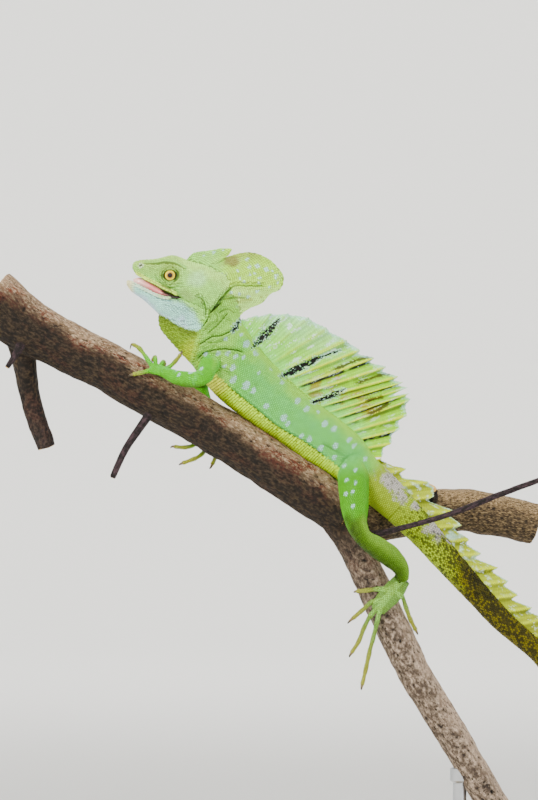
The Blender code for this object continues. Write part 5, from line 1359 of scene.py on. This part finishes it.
# The claws: curved, pointed sheaths of horn that cap the last bone of each of the twenty digits. Horn is
# hard, smooth and a little glossy, brown at the root and nearly black at the tip.
CLAW_RINGS, CLAW_SIDES = 22, 12
horn, tree, shader = finish("claw_horn", Roughness=0.3)
tip_at = add(tree, "Attribute", attribute_name="tip").outputs["Fac"]
shaft = add(tree, "Mix", {0: tip_at, 6: linear("#8A7440"), 7: linear("#1C1610")}, data_type="RGBA")
tree.links.new(shaft.outputs[2], shader.inputs["Base Color"])
points, faces, tips = [], [], []
start = 0
for name, routes in DIGITS.items():
    radius = FINGER_RADIUS if name.startswith("hand") else TOE_RADIUS
    for route in routes:
        before, root, end = (np.array(place, float) for place in route[-3:])
        run = (root - before) / np.linalg.norm(root - before)
        bend = (end - root) - run * ((end - root) @ run)
        reach = np.linalg.norm(end - root)
        rows = []
        for t in np.linspace(0, 1, 12):
            bow = (run * 0.28 * reach - bend * 0.35) * math.sin(math.pi * t)
            place = root - run * 1.1 + (end - root + run * 1.1) * t + bow
            rows.append((*place, radius * 0.66 * (1 - t) ** 0.75 + CLAW_TIP * 0.5))
        grid = tube_grid(rows, CLAW_RINGS, CLAW_SIDES)
        points.append(grid.reshape(-1, 3))
        faces += closed_faces(grid.shape, start)
        tips.append(np.repeat(np.linspace(0, 1.2, CLAW_RINGS), CLAW_SIDES))
        start += CLAW_RINGS * CLAW_SIDES
claws = mesh_piece("claws", np.concatenate(points), faces, horn)
keep_values(claws, "tip", np.clip(np.concatenate(tips), 0, 1))
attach(claws, "root")

# The sail on the back and the crest on the tail: stiff bony rays with thin scaly skin stretched between them.
# The edge is worn ragged, with the rays' ends standing out as points and one tear down to half way.
SAIL_RAYS, TAIL_RAYS = 19, 27
SAIL_TIP_AT = ((0, 0.15, 0.355, 0.56, 0.78, 1), (0, 0.147, 0.45, 0.66, 0.76, 1))
TORN_RAY, TORN_DEPTH = 12.5, 11
TAIL_CREST_ENDS = (13, 25)
TAIL_CREST_HEIGHTS = (
    (0, 0.035, 0.06, 0.09, 0.12, 0.15, 0.2, 0.3, 0.55, 0.7, 0.85, 1),
    (6, 14, 10, 25, 14, 22, 15, 17, 19, 18, 12, 4),
)
SAIL_BETWEEN, TAIL_BETWEEN = 16, 10  # columns of the mesh from one ray to the next
SAIL_ROWS, TAIL_ROWS = 44, 18
SAIL_RAY, TAIL_RAY = (2.1, 0.85), (2, 0.8)  # thickness of a ray at its root and tip
SAIL_WEB, TAIL_WEB = (1.2, 0.45), (1.2, 0.5)  # thickness of the skin between the rays at root and tip
CREST_SCALE = (1.0, 1.55)


def ray_shape(rays, between, draw, shallow, deep, worn_from):
    """For each column: which ray it is by, how near to it from 0 to 1, and how much the edge is cut back."""
    at = np.arange((rays - 1) * between + 1) / between
    near = np.abs(at % 1 - 0.5) * 2
    worn = np.arange(rays) >= worn_from
    depths = draw.uniform(*shallow, rays) * ~worn + draw.uniform(*deep, rays) * worn
    cut = np.where(at % 1 < 0.24, at % 1 / 0.24, (1 - at % 1) / 0.76)  # steep behind each point
    drops = depths[np.minimum(at.astype(int), rays - 1)] * ramp(cut, -0.15, 1.1)
    drops += np.interp(at, np.arange(rays), draw.uniform(0, 1.3, rays))
    drops += np.interp(at * 4, np.arange(4 * rays), draw.uniform(0, 0.5, 4 * rays))
    return at, near, drops


def ray_thickness(near, at, up, ray, skin):
    """Thick at the rays, thin between them and at the tips, with finer ribs between the rays."""
    ribs = 0.11 * np.abs(np.sin(at * math.pi * 4))[:, None] * (1 - up * 0.4)
    web = skin[0] * (1 - up) + skin[1] * up + ribs
    bone = ray[0] * (1 - up) + ray[1] * up
    return web + (bone - web) * np.exp(-(((1 - near[:, None]) / 0.2) ** 2))


def crest_tint(points, at, near, up, draws, sail):
    """The colours of the sail and the tail's crest, in ray places: along the rays and across them, with
    painted light and shade on the pleats.
    """
    lime, leaf, mist, ray_pale, edge, fleck, pleat_shadow, orange, brown, black, tail_yellow, tail_brown = hues(
        "#94D80A", "#8CE860", "#B0F6BC", "#DAEA08", "#B4EADE", "#DCF4EC", "#10160A", "#98620D", "#34150B",
        "#0B0B0A", "#A4B416", "#6C640E")
    streak = rough(np.column_stack([at * 3.4, up * 4.5, at * 0]), 1, 71, 3)
    broad = rough(points, 12, 73, 3)
    past = at % 1
    ribs = np.abs(np.sin(at * math.pi * 4))
    pleat = 0.7 + 0.3 * np.sin(np.floor(at) * 2.4 + 1)
    if sail:
        tint = laid(np.repeat(lime[None], len(points), axis=0), leaf, ramp(up + 0.1 * broad, 0.55, 0.12))
        tint = laid(tint, mist, ramp(at + 2 * broad, 9, 3) * ramp(up + 0.2 * broad, 0.4, 0.8) * 0.6)
        tint = laid(tint, leaf, ramp(at + 2 * broad, 8, 2) * ramp(up, 1.0, 0.5) * 0.75)
        worn = ramp(at, 4, 8)
    else:
        tint = np.repeat(tail_yellow[None], len(points), axis=0)
        tint = laid(tint, tail_brown, ramp(at + 3 * broad, 8, 18) * 0.7)
        tint = laid(tint, edge, ramp(broad + 0.5 * streak, 0.25, 0.6) * ramp(at, 12, 4) * 0.7)
        worn = np.full(len(points), 0.7)
    # painted shade between the fine ribs and painted light on them
    tint = tint * (0.8 + 0.26 * ribs)[:, None]
    # the rays are pale, and lighter still on the rear pleats as painted light on their ridges
    tint = laid(tint, ray_pale, ramp(near, 0.7, 0.92) * (0.15 + 0.7 * worn) * ramp(up, 0.04, 0.3))
    zone = ramp(at, 7.2, 8.4) * ramp(at, 15, 13.6) * ramp(up, 0.04, 0.16) * ramp(up, 0.8, 0.5) * sail
    tint = laid(tint, orange, zone * ramp(broad + 0.5 * streak, -0.1, 0.3) * ramp(near, 0.9, 0.6) * 0.7)
    # painted shadow in a dark line just below each ray, strongest on the rear pleats
    valley = ramp(past, 0.04, 0.12) * ramp(past, 0.5, 0.24)
    tint = laid(tint, pleat_shadow, valley * worn * pleat * ramp(streak + broad, -1.2, -0.3) * ramp(up, 0.04, 0.22))
    tint = laid(
        tint, fleck, ramp(streak + 0.3 * draws, 0.38, 0.52) * ramp(up, 0.12, 0.25) * (1 - 0.55 * worn) * 0.8)
    if sail:
        for line in BROWN_STREAKS:
            far, _, share = from_line(points, line)
            tint = laid(
                tint, brown, ramp(far + 0.8 * draws + 0.5 * streak, 1.3, 0.9) * ramp(share, 0, 0.15) * 0.85)
        ink, border = inked(points, draws)
        tint = laid(laid(tint, edge, border * 0.7), black, ink)
    return laid(tint, edge, ramp(up + 0.04 * draws + 0.05 * streak, 0.93, 0.99) * 0.6)


def crest_piece(name, roots, tips, aside, rows, ray, skin_thick, between, draw, sail):
    """The fine crest with its small plates, standing in for a solid that is hidden once it is made."""
    rays = round((len(roots) - 1) / between) + 1
    wear = ((0.9, 1.8), (3, 5.6), 7) if sail else ((2, 4), (4, 8), 0)
    at, near, drops = ray_shape(rays, between, draw, *wear)
    lengths = np.linalg.norm(tips - roots, axis=1)
    if sail:
        drops += (TORN_DEPTH - 3) * np.exp(-(((at - TORN_RAY) / 0.32) ** 2))
    drops = np.minimum(drops, 0.45 * lengths)
    tips = tips - (tips - roots) * (drops / lengths)[:, None]
    up = np.linspace(0, 1, rows + 1)[None, :]
    thickness = ray_thickness(near, at, up, ray, skin_thick)
    sway = np.interp(at, np.arange(rays), draw.uniform(-1, 1, rays))[:, None]
    pleats = -np.cos(2 * math.pi * at)[:, None]
    lean = aside[:, None] + 0.75 * up * pleats + 1.0 * up**2 * sway
    grid = vane_grid(roots, tips, rows, thickness, lean)
    piece = mesh_piece(name, grid.reshape(-1, 3), closed_faces(grid.shape, 0), scaly)
    share = np.concatenate([up[0], up[0, ::-1]])
    points = grid.reshape(-1, 3)
    at_each, near_each = np.repeat(at, len(share)), np.repeat(near, len(share))
    up_each = np.tile(share, len(at))
    draws = 1.4 * rough(points, 0.9, 75, 1)
    # painted shade: the crest's skin is darkened where it shows between the plates
    keep_tint(piece, crest_tint(points, at_each, near_each, up_each, draws, sail) * 0.85)
    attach(piece, "root")

    bpy.context.view_layer.update()
    seat = BVHTree.FromObject(piece, bpy.context.evaluated_depsgraph_get())
    kept = seated(scale_rows(grid, *CREST_SCALE), seat, 0.8)
    kept = kept[np.abs(kept[:, 12]) > 0.5]

    def colour_of(spots, part, along, around, draws):
        ray_at = along * (rays - 1)
        high = np.where(around < 0.5, 2 * around, 2 * (1 - around))
        return crest_tint(spots, ray_at, np.abs(ray_at % 1 - 0.5) * 2, high, draws, sail)

    plates = scale_piece(name + "_plates", [(0, 0, kept, 0.14, 0.3, False, 0.8, RIM)], colour_of, 81)
    return piece


draw = np.random.default_rng(7)
count = (SAIL_RAYS - 1) * SAIL_BETWEEN + 1
outline = smooth(SAIL_EDGE, 801)
edge_at = np.interp(np.linspace(0, 1, count), *SAIL_TIP_AT)
tips = np.stack([np.interp(edge_at, np.linspace(0, 1, 801), line) for line in outline.T], axis=-1)
sail_sizes = (SAIL_ROWS, SAIL_RAY, SAIL_WEB, SAIL_BETWEEN)
sail = crest_piece("sail", smooth(SAIL_ROOT, count), tips, np.zeros(count), *sail_sizes, draw, True)
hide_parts("dorsal_crest")

draw = np.random.default_rng(11)
count = (TAIL_RAYS - 1) * TAIL_BETWEEN + 1
steps = np.linalg.norm(np.diff(np.array(SPINE, float), axis=0), axis=1)
first, last = (
    round(steps[:number].sum() / steps.sum() * (len(parts["spine"]) - 1)) for number in TAIL_CREST_ENDS)
backbone = smooth(parts["spine"][first : last + 1, 0], count)
line, aside = backbone[:, [0, 2]], backbone[:, 1]
runs = np.gradient(line, axis=0)
runs /= np.linalg.norm(runs, axis=1)[:, None]
out = runs @ np.array(((0, 1), (-1, 0)))
heights = np.interp(np.linspace(0, 1, count), *TAIL_CREST_HEIGHTS) * np.interp(
    np.arange(count) / TAIL_BETWEEN, np.arange(TAIL_RAYS), draw.uniform(0.88, 1.1, TAIL_RAYS))
tips = line + (out * 0.78 + runs * 0.62) * heights[:, None]
tail_sizes = (TAIL_ROWS, TAIL_RAY, TAIL_WEB, TAIL_BETWEEN)
tail_fin = crest_piece("tail_fin", line - out * 2.2, tips, aside, *tail_sizes, draw, False)
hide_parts("tail_crest")

# The stand's board: a slab of maple, planed, with its edges and corners rounded over, and oiled, which gives
# it a low sheen. Growth rings show as soft streaks along it, with short dark pores between them.
board_low, board_high = (np.array(corner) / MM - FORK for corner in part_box("stand_base"))
BOARD_ROUND = 2.5
RING_WIDTH, RING_LENGTH, PORE, WARP = 4.0, 90.0, 0.5, 71.4
oiled_wood, tree, shader = finish("oiled_maple", Roughness=0.42, Coat_Weight=0.15, Coat_Roughness=0.3)
cube = bmesh.new()
bmesh.ops.create_cube(cube, size=1)
bmesh.ops.scale(cube, verts=cube.verts, vec=(board_high - board_low) * MM)
bmesh.ops.translate(cube, verts=cube.verts, vec=((board_high + board_low) / 2 + FORK) * MM)
bmesh.ops.bevel(cube, geom=cube.edges[:], offset=BOARD_ROUND * MM, segments=5, profile=0.5, affect="EDGES")
board_mesh = bpy.data.meshes.new("stand_board")
cube.to_mesh(board_mesh)
cube.free()
board_mesh.materials.append(oiled_wood)
board_mesh.shade_smooth()
board_mesh.set_sharp_from_angle(angle=math.radians(40))
board = bpy.data.objects.new("stand_board", board_mesh)
bpy.context.scene.collection.objects.link(board)
place_at = add(tree, "TexCoord").outputs["Object"]
warp = add(tree, "TexNoise", {"Vector": place_at, "Scale": 1 / (WARP * MM), "Detail": 2.0})
bent = add(tree, "Mix", {0: 0.012, 4: place_at, 5: warp.outputs["Color"]}, data_type="VECTOR")
ring_scale = (1 / RING_LENGTH / MM, 1 / RING_WIDTH / MM, 1 / RING_WIDTH / MM)
lengthwise = add(tree, "Mapping", {"Vector": bent.outputs[1], "Scale": ring_scale})
rings = add(tree, "TexNoise", {
    "Vector": lengthwise.outputs["Vector"], "Scale": 1.0, "Detail": 5.0, "Roughness": 0.55})
fibres = add(tree, "Mapping", {
    "Vector": place_at, "Scale": (1 / (16 * PORE) / MM, 1 / PORE / MM, 1 / PORE / MM)})
pores = add(tree, "TexNoise", {
    "Vector": fibres.outputs["Vector"], "Scale": 1.0, "Detail": 3.0, "Roughness": 0.6})
colour = linear("#C9B48F")
for pattern, low, high, code in ((rings, 0.38, 0.62, "#AD9069"), (pores, 0.6, 0.72, "#8C6F4B")):
    share = add(tree, "MapRange", {"Value": pattern.outputs["Fac"], "From Min": low, "From Max": high})
    mixed = add(tree, "Mix", {0: share.outputs["Result"], 6: colour, 7: linear(code)}, data_type="RGBA")
    colour = mixed.outputs[2]
tree.links.new(colour, shader.inputs["Base Color"])
bump = add(tree, "Bump", {"Height": pores.outputs["Fac"], "Strength": 0.25, "Distance": 0.2 * MM})
tree.links.new(bump.outputs["Normal"], shader.inputs["Normal"])
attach(board, "root")
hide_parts("stand_base")

# The stand's rod: a turned steel pin, let into the board through a collar, with a ferrule where it enters the
# branch. The steel is brushed along its length, which draws each glint out down the pin.
rod_low, rod_high = (np.array(corner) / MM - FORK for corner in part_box("stand_rod"))
ROD_RADIUS = (rod_high[0] - rod_low[0]) / 2
COLLAR_RADIUS, COLLAR_HEIGHT, FERRULE_RADIUS, FERRULE_HEIGHT, CHAMFER = 12.0, 5.0, 6.4, 9.0, 0.6
ROD_SIDES = 64
STROKE_WIDTH, STROKE_LENGTH = 0.25, 25.0
brushed, tree, shader = finish("brushed_steel", Metallic=1.0, Roughness=0.3, Base_Color=linear("#B4B6B9"))
lift, top = rod_low[2] - 0.1, rod_high[2]
shoulder, waist = lift + COLLAR_HEIGHT, top - FERRULE_HEIGHT
profile = [
    (0.05, lift), (COLLAR_RADIUS - CHAMFER, lift), (COLLAR_RADIUS, lift + CHAMFER),
    (COLLAR_RADIUS, shoulder - 1.5), (COLLAR_RADIUS - 1.5, shoulder),
    (ROD_RADIUS + 1, shoulder), (ROD_RADIUS, shoulder + 1), (ROD_RADIUS, waist - 1),
    (FERRULE_RADIUS - CHAMFER, waist), (FERRULE_RADIUS, waist + CHAMFER),
    (FERRULE_RADIUS, top - CHAMFER), (FERRULE_RADIUS - CHAMFER, top), (0.05, top),
]
turns = np.arange(ROD_SIDES) * 2 * math.pi / ROD_SIDES
middle = (rod_low + rod_high) / 2
rod_grid = np.array([
    [(middle[0] + r * math.cos(a), middle[1] + r * math.sin(a), z) for a in turns] for r, z in profile])
rod = mesh_piece("stand_pin", rod_grid.reshape(-1, 3), closed_faces(rod_grid.shape, 0), brushed)
rod.data.set_sharp_from_angle(angle=math.radians(30))
place_at = add(tree, "TexCoord").outputs["Object"]
stroke_scale = (1 / STROKE_WIDTH / MM, 1 / STROKE_WIDTH / MM, 1 / STROKE_LENGTH / MM)
drawn = add(tree, "Mapping", {"Vector": place_at, "Scale": stroke_scale})
strokes = add(tree, "TexNoise", {"Vector": drawn.outputs["Vector"], "Scale": 1.0, "Detail": 2.0})
worn = add(tree, "MapRange", {"Value": strokes.outputs["Fac"], "To Min": 0.24, "To Max": 0.4})
tree.links.new(worn.outputs["Result"], shader.inputs["Roughness"])
bump = add(tree, "Bump", {"Height": strokes.outputs["Fac"], "Strength": 0.15, "Distance": 0.05 * MM})
tree.links.new(bump.outputs["Normal"], shader.inputs["Normal"])
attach(rod, "root")
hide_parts("stand_rod")
